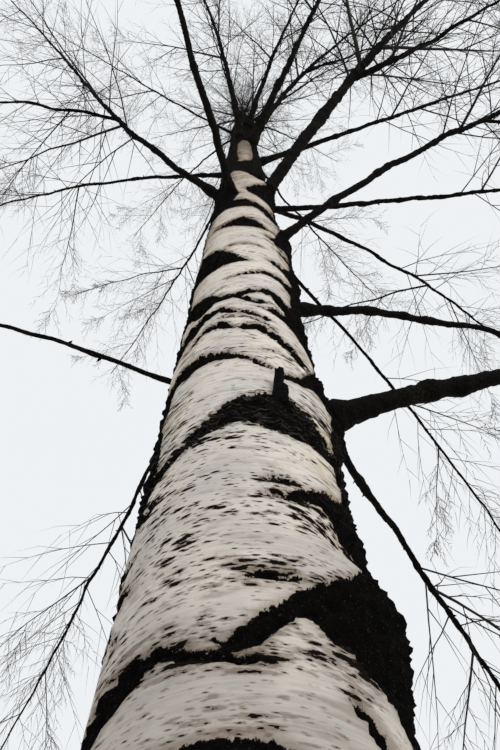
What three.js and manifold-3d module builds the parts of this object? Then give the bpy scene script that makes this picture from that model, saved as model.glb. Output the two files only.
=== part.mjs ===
// A mature silver birch in winter, bare of leaves, at its real size in millimetres.
// +Z is up and the origin is the middle of the flat cut under the trunk, at ground level. Azimuths are in degrees
// about the trunk: 0 points along -Y, 90 along +X and 180 along +Y.
//
// One trunk runs from the ground to the leader. Boughs leave it, each a tapering limb that rises, turns and arches
// over. Where its side twigs begin, a bough ends and its spray carries on: the outer stem of the same limb with its
// forks and twigs fused on. High up the sprays stand straight on the trunk. The twigs branch by one seeded rule.

import * as THREE from "three";
import { mergeVertices } from "three/addons/utils/BufferGeometryUtils.js";
import Module from "manifold-3d";

const wasm = await Module();
wasm.setup();

// The tree as a whole
const TREE_HEIGHT = 14000;
const TRUNK_TOP = 13200; // where the leader's spray takes over
const STEM_RADIUS = 157; // what the taper gives at the ground, without the root flare
const TAPER_POWER = 0.85;
const LEAN_RUN = -0.0095; // sideways run along X for each unit of height
const BOW = { from: 5000, back: 170 }; // above this height the trunk bows towards +Y, by so much at the tip
const GAP = 0.3; // between solids that meet

// The root flare: five buttresses that die away up the butt
const FLARE = 88;
const FLARE_HEIGHT = 210;
const BUTTRESSES = 5;
const BUTTRESS_SHARE = 0.3;

// Swellings on the trunk: height, azimuth, how far each stands out, and its half height and half width
const SWELLINGS = [
  { height: 1912, azimuth: 82, out: 25, tall: 64, wide: 30 },
  { height: 2330, azimuth: 96, out: 9, tall: 70, wide: 24 },
  { height: 2200, azimuth: 18, out: 5, tall: 45, wide: 26 },
  { height: 3060, azimuth: -38, out: 6, tall: 80, wide: 26 },
];

// The snag of a dead twig on the trunk's face
const SNAG = { height: 2232, azimuth: 19, length: 84, radius: 6.5, lean: 17 };

// Facets
const TRUNK_SIDES = 20;
const TRUNK_RINGS = 30;
const BOUGH_SIDES = 6;
const STEM_SIDES = 4;
const TWIG_SIDES = 3;
const FLATNESS = 0.1; // faces this close to one plane are joined up where a cut or a join has split them

// Every limb is worked out in this many steps. Its side twigs begin a few steps out, where the bough ends.
const LIMB_STEPS = 8;
const LIMB_ROOT = 0.6; // a limb starts inside the trunk, at this share of the trunk's radius
const TIP_SHARE = 0.2; // a limb's radius at its tip, as a share of its radius at the trunk
const DROOP = 42; // how far a limb's tip hangs over, in degrees, on top of its own bend
const COLLAR_SHARE = 0.5; // how much thicker a limb is where it leaves the trunk, unless it has a collar of its own
const COLLAR_REACH = 45; // and how fast that dies away

// The boughs. height is on the trunk's axis, rise the slope at the root, bend and turn how far the slope and the
// azimuth change over the whole length, and bare the steps before the first side twig.
// forks are strong side limbs of the spray: the share of the length where they leave, their azimuth and slope.
const BOUGHS = [
  {
    name: "low_right_bough", height: 2420, azimuth: 96, rise: 39, bend: -27, turn: 2, length: 3000, radius: 21,
    bare: 3, collar: 1, forks: [{ at: 0.5, azimuth: 68, rise: 20 }],
  },
  {
    name: "low_left_bough", height: 2550, azimuth: -91, rise: 41, bend: -18, turn: 1, length: 2800, radius: 7,
    bare: 3, forks: [{ at: 0.5, azimuth: -60, rise: 12 }],
  },
  {
    name: "back_right_bough", height: 3000, azimuth: 151, rise: 22, bend: -27, turn: -6, length: 2700, radius: 15,
    bare: 3, forks: [],
  },
  {
    name: "middle_right_bough", height: 3100, azimuth: 107, rise: 43, bend: -37, turn: 19, length: 3000, radius: 14,
    bare: 3, forks: [{ at: 0.45, azimuth: 95, rise: 15 }],
  },
  {
    name: "forked_right_bough", height: 3530, azimuth: 71, rise: 57, bend: -21, turn: 11, length: 3200, radius: 18,
    bare: 3, forks: [{ at: 0.5, azimuth: 100, rise: 30 }],
  },
  {
    name: "back_left_bough", height: 3820, azimuth: -160, rise: 8, bend: -4, turn: 12, length: 2800, radius: 12,
    bare: 3, forks: [],
  },
  {
    name: "front_left_bough", height: 4020, azimuth: -23, rise: 55, bend: -6, turn: 11, length: 3400, radius: 21,
    bare: 3, forks: [{ at: 0.45, azimuth: -60, rise: 32 }],
  },
  {
    name: "thin_back_bough", height: 4055, azimuth: 139, rise: 23, bend: -60, turn: 2, length: 2200, radius: 9,
    bare: 3, forks: [],
  },
  {
    name: "great_right_bough", height: 4170, azimuth: 51, rise: 67, bend: -3, turn: 4, length: 4000, radius: 38,
    bare: 3, forks: [{ at: 0.4, azimuth: 76, rise: 52 }],
  },
  {
    name: "level_right_bough", height: 4315, azimuth: 96, rise: 41, bend: -16, turn: -11, length: 3200, radius: 15,
    bare: 3, forks: [],
  },
  {
    name: "long_left_bough", height: 4335, azimuth: -72, rise: 55, bend: 25, turn: 22, length: 3500, radius: 17,
    bare: 2, forks: [{ at: 0.36, azimuth: -83, rise: 26 }],
  },
  {
    name: "spreading_right_bough", height: 5590, azimuth: 81, rise: 52, bend: -14, turn: -7, length: 3200, radius: 19,
    bare: 3, forks: [],
  },
  {
    name: "high_right_bough", height: 6610, azimuth: 46, rise: 73, bend: -11, turn: 14, length: 3500, radius: 25,
    bare: 3, forks: [{ at: 0.5, azimuth: 75, rise: 40 }],
  },
  {
    name: "high_left_bough", height: 6160, azimuth: -12, rise: 70, bend: -8, turn: -16, length: 3000, radius: 22,
    bare: 3, forks: [],
  },
  {
    name: "high_front_right_bough", height: 5900, azimuth: 30, rise: 57, bend: -8, turn: -1, length: 3400, radius: 24,
    bare: 3, forks: [],
  },
  {
    name: "high_front_bough", height: 7030, azimuth: 21, rise: 68, bend: -6, turn: 11, length: 3000, radius: 22,
    bare: 3, forks: [],
  },
];

// The boughs round the back and sides of the middle crown, spaced evenly round the trunk
const MIDDLE = { count: 6, lowest: 4650, highest: 8000, azimuth: 186, length: 3300, top_length: 2500, radius: 13 };
const MIDDLE_SPREAD = 66; // each stands this much to the right of, straight behind or to the left of the last
const MIDDLE_DRIFT = 9;

// The sprays that stand straight on the upper trunk
const UPPER = { count: 12, lowest: 8350, highest: 12900, azimuth: 60, length: 2500, top_length: 620, radius: 13 };
const GOLDEN_ANGLE = 137.5;

// The twigs, by order of branching: how many stand on a limb, the share of it that is bare, their angle to it, their
// length as a share of it, their steps, how much they hang and how thick they are.
const TWIGS = [
  { count: 6, first: 0.06, angle: 44, share: 0.46, steps: 2, hang: 0.5, thickness: 0.66 },
  { count: 2, first: 0.3, angle: 38, share: 0.55, steps: 1, hang: 0.75, thickness: 0.8 },
];
const FORK = { share: 0.62, thickness: 0.74, hang: 0.5, steps: 3, twigs: 3 };
const WANDER = 0.22; // how far a twig's heading strays at each step
const LEADER_TWIGS = 7;
const LOWEST_TWIG = 1500;
const CLEARANCE = 3;

// Colours
const PAPER = new THREE.MeshStandardMaterial({ color: 0xcfc7bc, roughness: 0.72, metalness: 0 });
const DARK_BARK = new THREE.MeshStandardMaterial({ color: 0x2c2521, roughness: 0.85, metalness: 0 });
const TWIG_BARK = new THREE.MeshStandardMaterial({ color: 0x33231e, roughness: 0.7, metalness: 0 });
const DEAD_WOOD = new THREE.MeshStandardMaterial({ color: 0x1d1a18, roughness: 0.95, metalness: 0 });

const UP = new THREE.Vector3(0, 0, 1);
const radians = THREE.MathUtils.degToRad;

// Random numbers from 0 to 1 that are the same on every run
function seeded(seed) {
  let state = seed >>> 0;
  return () => {
    state = (state + 0x6d2b79f5) >>> 0;
    let mixed = Math.imul(state ^ (state >>> 15), state | 1);
    mixed ^= mixed + Math.imul(mixed ^ (mixed >>> 7), mixed | 61);
    return ((mixed ^ (mixed >>> 14)) >>> 0) / 4294967296;
  };
}

// A child's seed follows from its parent's, so a twig is the same however many finer ones there are
const childSeed = (seed, index) => (Math.imul(seed, 1664525) + Math.imul(index + 1, 1013904223)) >>> 0;

// A unit vector from an azimuth and a slope above the horizontal, in degrees
function heading(azimuth, slope) {
  const turn = radians(azimuth);
  const climb = radians(slope);
  return new THREE.Vector3(
    Math.cos(climb) * Math.sin(turn),
    -Math.cos(climb) * Math.cos(turn),
    Math.sin(climb),
  );
}

// The trunk

const taper = (height) => STEM_RADIUS * Math.pow(1 - Math.min(height, TREE_HEIGHT) / TREE_HEIGHT, TAPER_POWER);

function trunkAxis(height) {
  const share = Math.max(height - BOW.from, 0) / (TREE_HEIGHT - BOW.from);
  return new THREE.Vector3(LEAN_RUN * height, BOW.back * share * share, height);
}

// The trunk's radius at a height and azimuth
function trunkRadius(height, azimuth) {
  const lobes = 1 + BUTTRESS_SHARE * Math.cos(BUTTRESSES * radians(azimuth - 20));
  let radius = taper(height) + FLARE * Math.exp(-height / FLARE_HEIGHT) * lobes;
  for (const swelling of SWELLINGS) {
    const up = (height - swelling.height) / swelling.tall;
    const round = (((azimuth - swelling.azimuth + 540) % 360) - 180) / swelling.wide;
    radius += swelling.out * Math.exp(-0.5 * (up * up + round * round));
  }
  return radius;
}

// Ring heights, close together at the flare and the swellings and further apart above
const ringHeight = (ring) => TRUNK_TOP * Math.pow(ring / TRUNK_RINGS, 1.75);

// The trunk as a closed shape, grown outwards by an extra amount where it is used as a cutter
function trunkShape(extra) {
  const shape = new THREE.CylinderGeometry(1, 1, 1, TRUNK_SIDES, TRUNK_RINGS);
  placeRings(shape, TRUNK_SIDES, TRUNK_RINGS, (ring, side) => {
    const height = ringHeight(ring);
    const centre = trunkAxis(height);
    if (side === null) return centre;
    const azimuth = (side * 360) / TRUNK_SIDES;
    const out = trunkRadius(height, azimuth) + extra;
    return centre.addScaledVector(heading(azimuth, 0), out);
  });
  return shape;
}

// Shapes

// Moves each vertex of a cylinder or cone to where place(ring, side) puts it. side is null in the middle of an end.
function placeRings(shape, sides, rings, place) {
  const position = shape.getAttribute("position");
  for (let i = 0; i < position.count; i++) {
    const x = position.getX(i);
    const z = position.getZ(i);
    const ring = Math.round((position.getY(i) + 0.5) * rings);
    const middle = Math.hypot(x, z) < 1e-6;
    const side = middle ? null : (Math.round((Math.atan2(x, z) * sides) / (2 * Math.PI)) + sides) % sides;
    const placed = place(ring, side);
    position.setXYZ(i, placed.x, placed.y, placed.z);
  }
}

// A closed limb through the points, with its own radius and heading at each. A last radius of 0 gives a point.
function limbShape(points, headings, radii, sides) {
  const rings = points.length - 1;
  const pointed = radii[rings] === 0;
  const shape = new THREE.CylinderGeometry(pointed ? 0 : 1, 1, 1, sides, rings);
  const reference = Math.abs(headings[0].z) < 0.9 ? UP : new THREE.Vector3(1, 0, 0);
  const across = new THREE.Vector3().crossVectors(headings[0], reference).normalize();
  const frames = headings.map((along) => {
    across.addScaledVector(along, -across.dot(along)).normalize();
    return { across: across.clone(), over: new THREE.Vector3().crossVectors(across, along) };
  });
  placeRings(shape, sides, rings, (ring, side) => {
    const placed = points[ring].clone();
    if (side === null || radii[ring] === 0) return placed;
    const turn = (side * 2 * Math.PI) / sides;
    placed.addScaledVector(frames[ring].across, radii[ring] * Math.sin(turn));
    return placed.addScaledVector(frames[ring].over, radii[ring] * Math.cos(turn));
  });
  return shape;
}

// The heading at each point of a line: the mean of the two stretches that meet there
function headingsOf(points) {
  const stretches = points.slice(1).map((point, i) => point.clone().sub(points[i]).normalize());
  return points.map((_, i) => {
    const before = stretches[Math.max(i - 1, 0)];
    const after = stretches[Math.min(i, stretches.length - 1)];
    return before.clone().add(after).normalize();
  });
}

// A closed shape as a solid that can be cut and joined
function solidOf(shape) {
  shape.deleteAttribute("normal");
  shape.deleteAttribute("uv");
  const merged = mergeVertices(shape);
  return new wasm.Manifold(
    new wasm.Mesh({
      numProp: 3,
      vertProperties: new Float32Array(merged.attributes.position.array),
      triVerts: new Uint32Array(merged.index.array),
    }),
  );
}

// A cut or joined solid without the scraps that came off and the facets that were split
function tidied(solid) {
  const pieces = solid.asOriginal().simplify(FLATNESS).decompose();
  return pieces.reduce((biggest, piece) => (piece.volume() > biggest.volume() ? piece : biggest));
}

// A solid as a named mesh
function meshOf(name, solid, material) {
  const made = solid.getMesh();
  const shape = new THREE.BufferGeometry();
  shape.setAttribute("position", new THREE.BufferAttribute(new Float32Array(made.vertProperties), 3));
  shape.setIndex(new THREE.BufferAttribute(new Uint32Array(made.triVerts), 1));
  const mesh = new THREE.Mesh(shape, material);
  mesh.name = name;
  return mesh;
}

// Room between limbs

// The stretches of every limb so far, so that a twig that would touch another limb can be left out
const stretchesTaken = [];

function take(owner, points, radii) {
  for (let i = 1; i < points.length; i++) {
    stretchesTaken.push({ owner, from: points[i - 1], to: points[i], radius: Math.max(radii[i - 1], radii[i]) });
  }
}

// The least distance between two straight stretches
function distanceBetween(a, b, c, d) {
  const u = b.clone().sub(a);
  const v = d.clone().sub(c);
  const w = a.clone().sub(c);
  const uu = u.dot(u);
  const uv = u.dot(v);
  const vv = v.dot(v);
  const uw = u.dot(w);
  const vw = v.dot(w);
  const span = uu * vv - uv * uv;
  let s = span > 1e-6 ? THREE.MathUtils.clamp((uv * vw - vv * uw) / span, 0, 1) : 0;
  let t = (uv * s + vw) / vv;
  if (t < 0 || t > 1) {
    t = THREE.MathUtils.clamp(t, 0, 1);
    s = THREE.MathUtils.clamp((uv * t - uw) / uu, 0, 1);
  }
  return w.addScaledVector(u, s).addScaledVector(v, -t).length();
}

// Whether a limb keeps clear of every limb of the other owners and of the trunk, and stays off the ground
function isClear(owners, points, radii) {
  for (let i = 1; i < points.length; i++) {
    const radius = Math.max(radii[i - 1], radii[i]);
    if (points[i].z < LOWEST_TWIG) return false;
    const axis = trunkAxis(points[i].z);
    const off = Math.hypot(points[i].x - axis.x, points[i].y - axis.y);
    if (points[i].z < TRUNK_TOP && off < taper(points[i].z) + radius + CLEARANCE * 8) return false;
    for (const taken of stretchesTaken) {
      if (owners.includes(taken.owner)) continue;
      const room = taken.radius + radius + CLEARANCE;
      if (distanceBetween(points[i - 1], points[i], taken.from, taken.to) < room) return false;
    }
  }
  return true;
}

// Limbs

// A limb's line: it rises from inside the trunk, turns, and hangs over towards its tip
function limbLine(limb) {
  const root = trunkAxis(limb.height);
  root.addScaledVector(heading(limb.azimuth, 0), LIMB_ROOT * taper(limb.height));
  const points = [root];
  for (let i = 0; i < LIMB_STEPS; i++) {
    const share = (i + 0.5) / LIMB_STEPS;
    const slope = limb.rise + limb.bend * share - DROOP * Math.pow(share, 3);
    const step = heading(limb.azimuth + limb.turn * share, slope).multiplyScalar(limb.length / LIMB_STEPS);
    points.push(points[i].clone().add(step));
  }
  return points;
}

const limbRadius = (limb, share) => limb.radius * (1 - (1 - TIP_SHARE) * Math.pow(share, 0.8));

// The distance along a limb where it comes out of the trunk
function exitOf(points, limb) {
  for (let i = 1; i < points.length; i++) {
    for (let part = 0.05; part <= 1; part += 0.05) {
      const point = points[i - 1].clone().lerp(points[i], part);
      const axis = trunkAxis(point.z);
      const off = Math.hypot(point.x - axis.x, point.y - axis.y);
      if (off > trunkRadius(point.z, limb.azimuth)) return ((i - 1 + part) * limb.length) / LIMB_STEPS;
    }
  }
  return 0;
}

// A limb's points, headings and radii between two shares of its length, with rings close together at its collar
function limbStretch(limb, line, firstStep, lastStep) {
  const headings = headingsOf(line);
  const points = [];
  const along = [];
  const radii = [];
  const step = limb.length / LIMB_STEPS;
  const exit = exitOf(line, limb);
  const collarShare = limb.collar ?? COLLAR_SHARE;
  const stops = [];
  for (let i = firstStep; i <= lastStep; i++) stops.push(i * step);
  if (firstStep === 0) stops.push(exit);
  if (lastStep < LIMB_STEPS && firstStep === 0) stops.push(exit + 30, exit + 75);
  stops.sort((a, b) => a - b);
  for (const stop of stops) {
    const near = stop / step;
    const i = Math.min(Math.floor(near), LIMB_STEPS - 1);
    points.push(line[i].clone().lerp(line[i + 1], near - i));
    along.push(headings[i].clone().lerp(headings[i + 1], near - i).normalize());
    const collar = 1 + collarShare * Math.exp(-Math.max(stop - exit, 0) / COLLAR_REACH);
    radii.push(limbRadius(limb, stop / limb.length) * collar);
  }
  return { points, headings: along, radii };
}

// Where a share of a line is, its heading and its radius there
function pointAlong(parent, share) {
  const near = share * (parent.points.length - 1);
  const i = Math.min(Math.floor(near), parent.points.length - 2);
  return {
    point: parent.points[i].clone().lerp(parent.points[i + 1], near - i),
    along: parent.points[i + 1].clone().sub(parent.points[i]).normalize(),
    radius: THREE.MathUtils.lerp(parent.radii[i], parent.radii[i + 1], near - i),
  };
}

// A twig's line, which strays a little and hangs more at each step
function twigLine(start, along, length, steps, hang, random) {
  const points = [start];
  const way = along.clone();
  for (let i = 0; i < steps; i++) {
    way.x += WANDER * (random() - 0.5);
    way.y += WANDER * (random() - 0.5);
    way.z += WANDER * (random() - 0.5) - hang / steps;
    way.normalize();
    points.push(points[i].clone().addScaledVector(way, length / steps));
  }
  return points;
}

const lengthOf = (points) =>
  points.slice(1).reduce((sum, point, i) => sum + point.distanceTo(points[i]), 0);

// The side twigs of one order on a parent: spaced along it and turned round it by the golden angle
function sideTwigs(parent, order, count) {
  const rule = TWIGS[order];
  const whole = lengthOf(parent.points);
  const twigs = [];
  for (let k = 0; k < count; k++) {
    const seed = childSeed(parent.seed, k);
    const random = seeded(seed);
    const share = rule.first + ((1 - rule.first) * (k + 0.3 + 0.4 * random())) / count;
    const { point, along, radius } = pointAlong(parent, share);
    const across = new THREE.Vector3().crossVectors(along, Math.abs(along.z) < 0.95 ? UP : new THREE.Vector3(1, 0, 0));
    across.normalize().applyAxisAngle(along, radians(GOLDEN_ANGLE * k + 50 * (random() - 0.5)));
    const angle = radians(rule.angle + 14 * (random() - 0.5));
    const way = along.clone().multiplyScalar(Math.cos(angle)).addScaledVector(across, Math.sin(angle));
    const length = whole * rule.share * (1 - 0.5 * share) * (0.8 + 0.4 * random());
    const points = twigLine(point, way, length, rule.steps, rule.hang, random);
    const thick = radius * rule.thickness;
    const radii = points.map((_, i) => thick * (1 - i / rule.steps));
    twigs.push({ points, radii, seed });
  }
  return twigs;
}

// A spray: the outer stem of a limb with its forks, and twigs on both, all fused in one solid
function spraySolid(owner, stem, forks, seed, twigCount) {
  const parents = [{ ...stem, seed, count: twigCount }];
  const pieces = [solidOf(limbShape(stem.points, stem.headings, stem.radii, STEM_SIDES))];
  take(owner, stem.points, stem.radii);
  forks.forEach((fork, index) => {
    const { point, radius } = pointAlong(stem, fork.share);
    const random = seeded(childSeed(seed, 100 + index));
    const length = lengthOf(stem.points) * (1 - 0.35 * fork.share) * FORK.share;
    const points = twigLine(point, heading(fork.azimuth, fork.rise), length, FORK.steps, FORK.hang, random);
    const radii = points.map((_, i) => Math.max(radius * FORK.thickness * (1 - (0.85 * i) / FORK.steps), 2.6));
    if (!isClear([owner], points, radii)) return;
    pieces.push(solidOf(limbShape(points, headingsOf(points), radii, STEM_SIDES)));
    take(owner, points, radii);
    parents.push({ points, radii, seed: childSeed(seed, 200 + index), count: FORK.twigs });
  });
  for (const parent of parents) {
    for (const twig of sideTwigs(parent, 0, parent.count)) {
      if (!isClear([owner], twig.points, twig.radii)) continue;
      pieces.push(solidOf(limbShape(twig.points, headingsOf(twig.points), twig.radii, TWIG_SIDES)));
      take(owner, twig.points, twig.radii);
      for (const fine of sideTwigs(twig, 1, TWIGS[1].count)) {
        if (!isClear([owner], fine.points, fine.radii)) continue;
        pieces.push(solidOf(limbShape(fine.points, headingsOf(fine.points), fine.radii, TWIG_SIDES)));
        take(owner, fine.points, fine.radii);
      }
    }
  }
  return wasm.Manifold.union(pieces);
}

// The limbs of the crown, from the named boughs and the two rules that fill in the rest

function middleBoughs() {
  const limbs = [];
  for (let i = 0; i < MIDDLE.count; i++) {
    const share = i / (MIDDLE.count - 1);
    limbs.push({
      name: `middle_bough_${i + 1}`,
      height: MIDDLE.lowest + share * (MIDDLE.highest - MIDDLE.lowest),
      azimuth: MIDDLE.azimuth + MIDDLE_SPREAD * (((2 * i) % 3) - 1) + MIDDLE_DRIFT * i,
      rise: 44 + 16 * share,
      bend: -14,
      turn: i % 2 === 0 ? 12 : -12,
      length: MIDDLE.length + share * (MIDDLE.top_length - MIDDLE.length),
      radius: MIDDLE.radius - 3 * share,
      bare: 3,
      forks: i % 2 === 0 ? [{ at: 0.5, azimuth: MIDDLE.azimuth + 70, rise: 30 }] : [],
    });
  }
  return limbs;
}

function upperLimbs() {
  const limbs = [];
  for (let i = 0; i < UPPER.count; i++) {
    const share = i / (UPPER.count - 1);
    limbs.push({
      name: `upper_spray_${i + 1}`,
      height: UPPER.lowest + share * (UPPER.highest - UPPER.lowest),
      azimuth: UPPER.azimuth + GOLDEN_ANGLE * i,
      rise: 60 + 8 * share,
      bend: -10,
      turn: 8,
      length: UPPER.length + share * (UPPER.top_length - UPPER.length),
      radius: UPPER.radius - 6 * share,
      bare: 0,
      forks: [],
    });
  }
  return limbs;
}

// The parts

function makeTrunk() {
  return meshOf("trunk", solidOf(trunkShape(0)), PAPER);
}

// A dead twig's broken stub, which points up along the trunk
function makeSnag(cutter) {
  const foot = trunkAxis(SNAG.height).addScaledVector(
    heading(SNAG.azimuth, 0),
    trunkRadius(SNAG.height, SNAG.azimuth) - SNAG.radius,
  );
  const along = heading(SNAG.azimuth, 90 - SNAG.lean);
  const points = [0, 0.45, 1].map((share) => foot.clone().addScaledVector(along, share * SNAG.length));
  const radii = [1.35, 0.95, 0.85].map((share) => share * SNAG.radius);
  const solid = solidOf(limbShape(points, headingsOf(points), radii, BOUGH_SIDES));
  return meshOf("broken_snag", tidied(solid.subtract(cutter)), DEAD_WOOD);
}

function makeLimbs(cutter) {
  const meshes = [];
  const limbs = [...BOUGHS, ...middleBoughs(), ...upperLimbs()];
  const made = limbs.map((limb, index) => ({ limb, index, line: limbLine(limb) }));
  for (const { limb, line } of made) {
    if (limb.bare === 0) continue;
    const bough = limbStretch(limb, line, 0, limb.bare);
    take(limb.name, bough.points, bough.radii);
    const solid = solidOf(limbShape(bough.points, bough.headings, bough.radii, BOUGH_SIDES));
    meshes.push(meshOf(limb.name, tidied(solid.subtract(cutter)), DARK_BARK));
  }
  for (const { limb, index, line } of made) {
    const stem = limbStretch(limb, line, limb.bare, LIMB_STEPS);
    const standsOnTrunk = limb.bare === 0;
    const name = standsOnTrunk ? limb.name : limb.name.replace("bough", "spray");
    if (!standsOnTrunk) stem.points[0].addScaledVector(stem.headings[0], GAP);
    const forks = limb.forks.map((fork) => {
      const bareShare = limb.bare / LIMB_STEPS;
      return { ...fork, share: (fork.at - bareShare) / (1 - bareShare) };
    });
    const seed = 1000 + 37 * index;
    let solid = spraySolid(name, stem, forks, seed, TWIGS[0].count);
    if (standsOnTrunk) solid = solid.subtract(cutter);
    meshes.push(meshOf(name, tidied(solid), TWIG_BARK));
  }
  return meshes;
}

// The leader: the last of the trunk's line, with twigs all round
function makeLeader() {
  const steps = 4;
  const points = [];
  for (let i = 0; i <= steps; i++) {
    points.push(trunkAxis(TRUNK_TOP + GAP + ((TREE_HEIGHT - TRUNK_TOP) * i) / steps));
  }
  const radii = points.map((_, i) => THREE.MathUtils.lerp(taper(TRUNK_TOP), 2.6, i / steps));
  const headings = points.map(() => UP.clone());
  const solid = spraySolid("leader_spray", { points, headings, radii }, [], 77, LEADER_TWIGS);
  return meshOf("leader_spray", solid, TWIG_BARK);
}

const tree = new THREE.Group();
const trunkCutter = solidOf(trunkShape(GAP));
tree.add(makeTrunk());
tree.add(makeSnag(trunkCutter));
tree.add(...makeLimbs(trunkCutter));
tree.add(makeLeader());

export default tree;
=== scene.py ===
"""A mature silver birch in winter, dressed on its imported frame.

Lengths are in metres and azimuths in degrees about the trunk: 0 points along -Y, 90 along +X, 180 along +Y.
The limbs follow the same rule and the same seeds as the part's source, so each bough and coarse twig lies
where its solid lies. The crown then goes on by that rule to finer twigs.
"""

from __future__ import annotations

import logging
import math
from collections.abc import Callable, Iterable
from dataclasses import dataclass, field
from enum import Enum
from functools import cached_property

import bpy
import numpy as np
from mathutils import Matrix, Vector, noise

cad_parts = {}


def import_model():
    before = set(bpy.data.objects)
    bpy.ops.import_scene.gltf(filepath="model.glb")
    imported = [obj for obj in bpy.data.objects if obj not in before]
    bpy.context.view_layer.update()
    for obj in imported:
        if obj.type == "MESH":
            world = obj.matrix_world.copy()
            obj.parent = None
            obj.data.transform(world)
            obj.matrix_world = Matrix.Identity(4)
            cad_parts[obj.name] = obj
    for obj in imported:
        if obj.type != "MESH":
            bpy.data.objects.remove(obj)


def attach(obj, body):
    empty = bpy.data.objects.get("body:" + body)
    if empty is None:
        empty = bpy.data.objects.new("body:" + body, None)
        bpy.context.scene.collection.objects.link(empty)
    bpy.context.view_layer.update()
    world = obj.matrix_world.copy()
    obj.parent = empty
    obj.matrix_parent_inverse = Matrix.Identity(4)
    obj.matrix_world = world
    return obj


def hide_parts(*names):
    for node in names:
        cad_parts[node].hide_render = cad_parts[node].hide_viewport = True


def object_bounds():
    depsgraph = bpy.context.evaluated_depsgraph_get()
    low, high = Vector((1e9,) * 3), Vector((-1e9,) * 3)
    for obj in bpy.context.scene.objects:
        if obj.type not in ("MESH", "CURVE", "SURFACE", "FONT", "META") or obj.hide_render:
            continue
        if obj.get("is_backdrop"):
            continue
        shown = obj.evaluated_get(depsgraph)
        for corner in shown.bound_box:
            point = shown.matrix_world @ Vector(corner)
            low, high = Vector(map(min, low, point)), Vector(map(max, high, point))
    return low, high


log = logging.getLogger("birch")

BODY = "root"
UP = Vector((0, 0, 1))
SIDEWAYS = Vector((1, 0, 0))
# How far a heading rises before it is measured against sideways
STEEP = 0.95

Triple = tuple[float, float, float]
Colour = Triple
Draw = Callable[[], float]


class Slot(Enum):
    """The record's material slots."""

    WHITE_BARK = "white_bark"
    DARK_BARK = "dark_bark"
    TWIGS = "twigs"
    DEAD_WOOD = "dead_wood"


# Random numbers and headings, as in the part's source
MASK = 0xFFFFFFFF
DRAW_STEP = 0x6D2B79F5
SEED_FACTOR = 1664525
CHILD_FACTOR = 1013904223
GOLDEN_ANGLE = 137.5


def imul(a: int, b: int) -> int:
    """Returns the low 32 bits of a product."""
    return (a * b) & MASK


def seeded(seed: int) -> Draw:
    """Makes a source of random numbers from 0 to 1 that are the same on every run.

    Args:
        seed: any whole number.

    Returns:
        A function that gives the next number.
    """
    state = seed & MASK

    def draw() -> float:
        """Returns the next number."""
        nonlocal state
        state = (state + DRAW_STEP) & MASK
        mixed = imul(state ^ (state >> 15), state | 1)
        mixed ^= (mixed + imul(mixed ^ (mixed >> 7), mixed | 61)) & MASK
        return ((mixed ^ (mixed >> 14)) & MASK) / (MASK + 1)

    return draw


def child_seed(seed: int, index: int) -> int:
    """Returns the seed of a limb's child, so a twig is the same however many finer ones there are."""
    return (imul(seed, SEED_FACTOR) + imul(index + 1, CHILD_FACTOR)) & MASK


def heading(azimuth: float, slope: float) -> Vector:
    """Returns the unit vector of an azimuth and a slope above the horizontal, in degrees."""
    turn, climb = math.radians(azimuth), math.radians(slope)
    return Vector((math.cos(climb) * math.sin(turn), -math.cos(climb) * math.cos(turn), math.sin(climb)))


def turn_from(azimuth: np.ndarray, centre: float | np.ndarray) -> np.ndarray:
    """Returns how far azimuths are turned from another, between -180 and 180."""
    return (azimuth - centre + 540) % 360 - 180


# Places along a line


def blend(start: float, end: float, share: float) -> float:
    """Returns the number at a share of the way from start to end."""
    return start + (end - start) * share


def stretch_at(count: int, share: float) -> tuple[int, float]:
    """Returns which stretch between that many points holds a share of their line, and how far along it."""
    index = min(int(share * (count - 1)), count - 2)
    return index, share * (count - 1) - index


def number_at(numbers: list[float], share: float) -> float:
    """Returns the number at a share of a list."""
    i, part = stretch_at(len(numbers), share)
    return blend(numbers[i], numbers[i + 1], part)


def point_at(points: list[Vector], share: float) -> Vector:
    """Returns the point at a share of a line."""
    i, part = stretch_at(len(points), share)
    return points[i].lerp(points[i + 1], part)


def smooth_line(points: list[Vector], parts: int) -> list[Vector]:
    """Rounds a line off.

    Args:
        points: the corners that the smooth line passes through.
        parts: how many stretches stand for each straight one.

    Returns:
        The points of the smooth line.
    """
    ends = [points[0] * 2 - points[1], *points, points[-1] * 2 - points[-2]]
    line = [points[0].copy()]
    for i in range(1, len(points)):
        a, b, c, d = ends[i - 1 : i + 3]
        for part in range(1, parts + 1):
            t = part / parts
            bend = (a * 2 - b * 5 + c * 4 - d) * t * t + (b * 3 - a - c * 3 + d) * t**3
            line.append((b * 2 + (c - a) * t + bend) * 0.5)
    return line


# Meshes from arrays
COARSE_BARK = 55
FINE_BARK = 140
FINE_SHARE = 0.6


def deselect_all() -> None:
    """Leaves nothing selected, so that an operator acts on the new piece alone."""
    bpy.ops.object.select_all(action="DESELECT")


def mesh_object(name: str, corners: np.ndarray, faces: list[np.ndarray]) -> bpy.types.Object:
    """Makes a smooth-shaded mesh object.

    Args:
        name: the object's name.
        corners: the vertices, one row each.
        faces: arrays of vertex numbers, one row a face, all of one array with the same number of corners.

    Returns:
        The object, linked to the scene.
    """
    mesh = bpy.data.meshes.new(name)
    sizes = np.concatenate([np.full(len(rows), rows.shape[1]) for rows in faces])
    starts = np.concatenate([[0], np.cumsum(sizes)[:-1]])
    numbers = np.concatenate([rows.ravel() for rows in faces])
    mesh.vertices.add(len(corners))
    mesh.vertices.foreach_set("co", corners.astype(np.float32).ravel())
    mesh.loops.add(int(sizes.sum()))
    mesh.loops.foreach_set("vertex_index", numbers.astype(np.int32))
    mesh.polygons.add(len(sizes))
    mesh.polygons.foreach_set("loop_start", starts.astype(np.int32))
    mesh.polygons.foreach_set("use_smooth", np.ones(len(sizes), bool))
    mesh.update(calc_edges=True)
    made = bpy.data.objects.new(name, mesh)
    bpy.context.scene.collection.objects.link(made)
    return made


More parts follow.
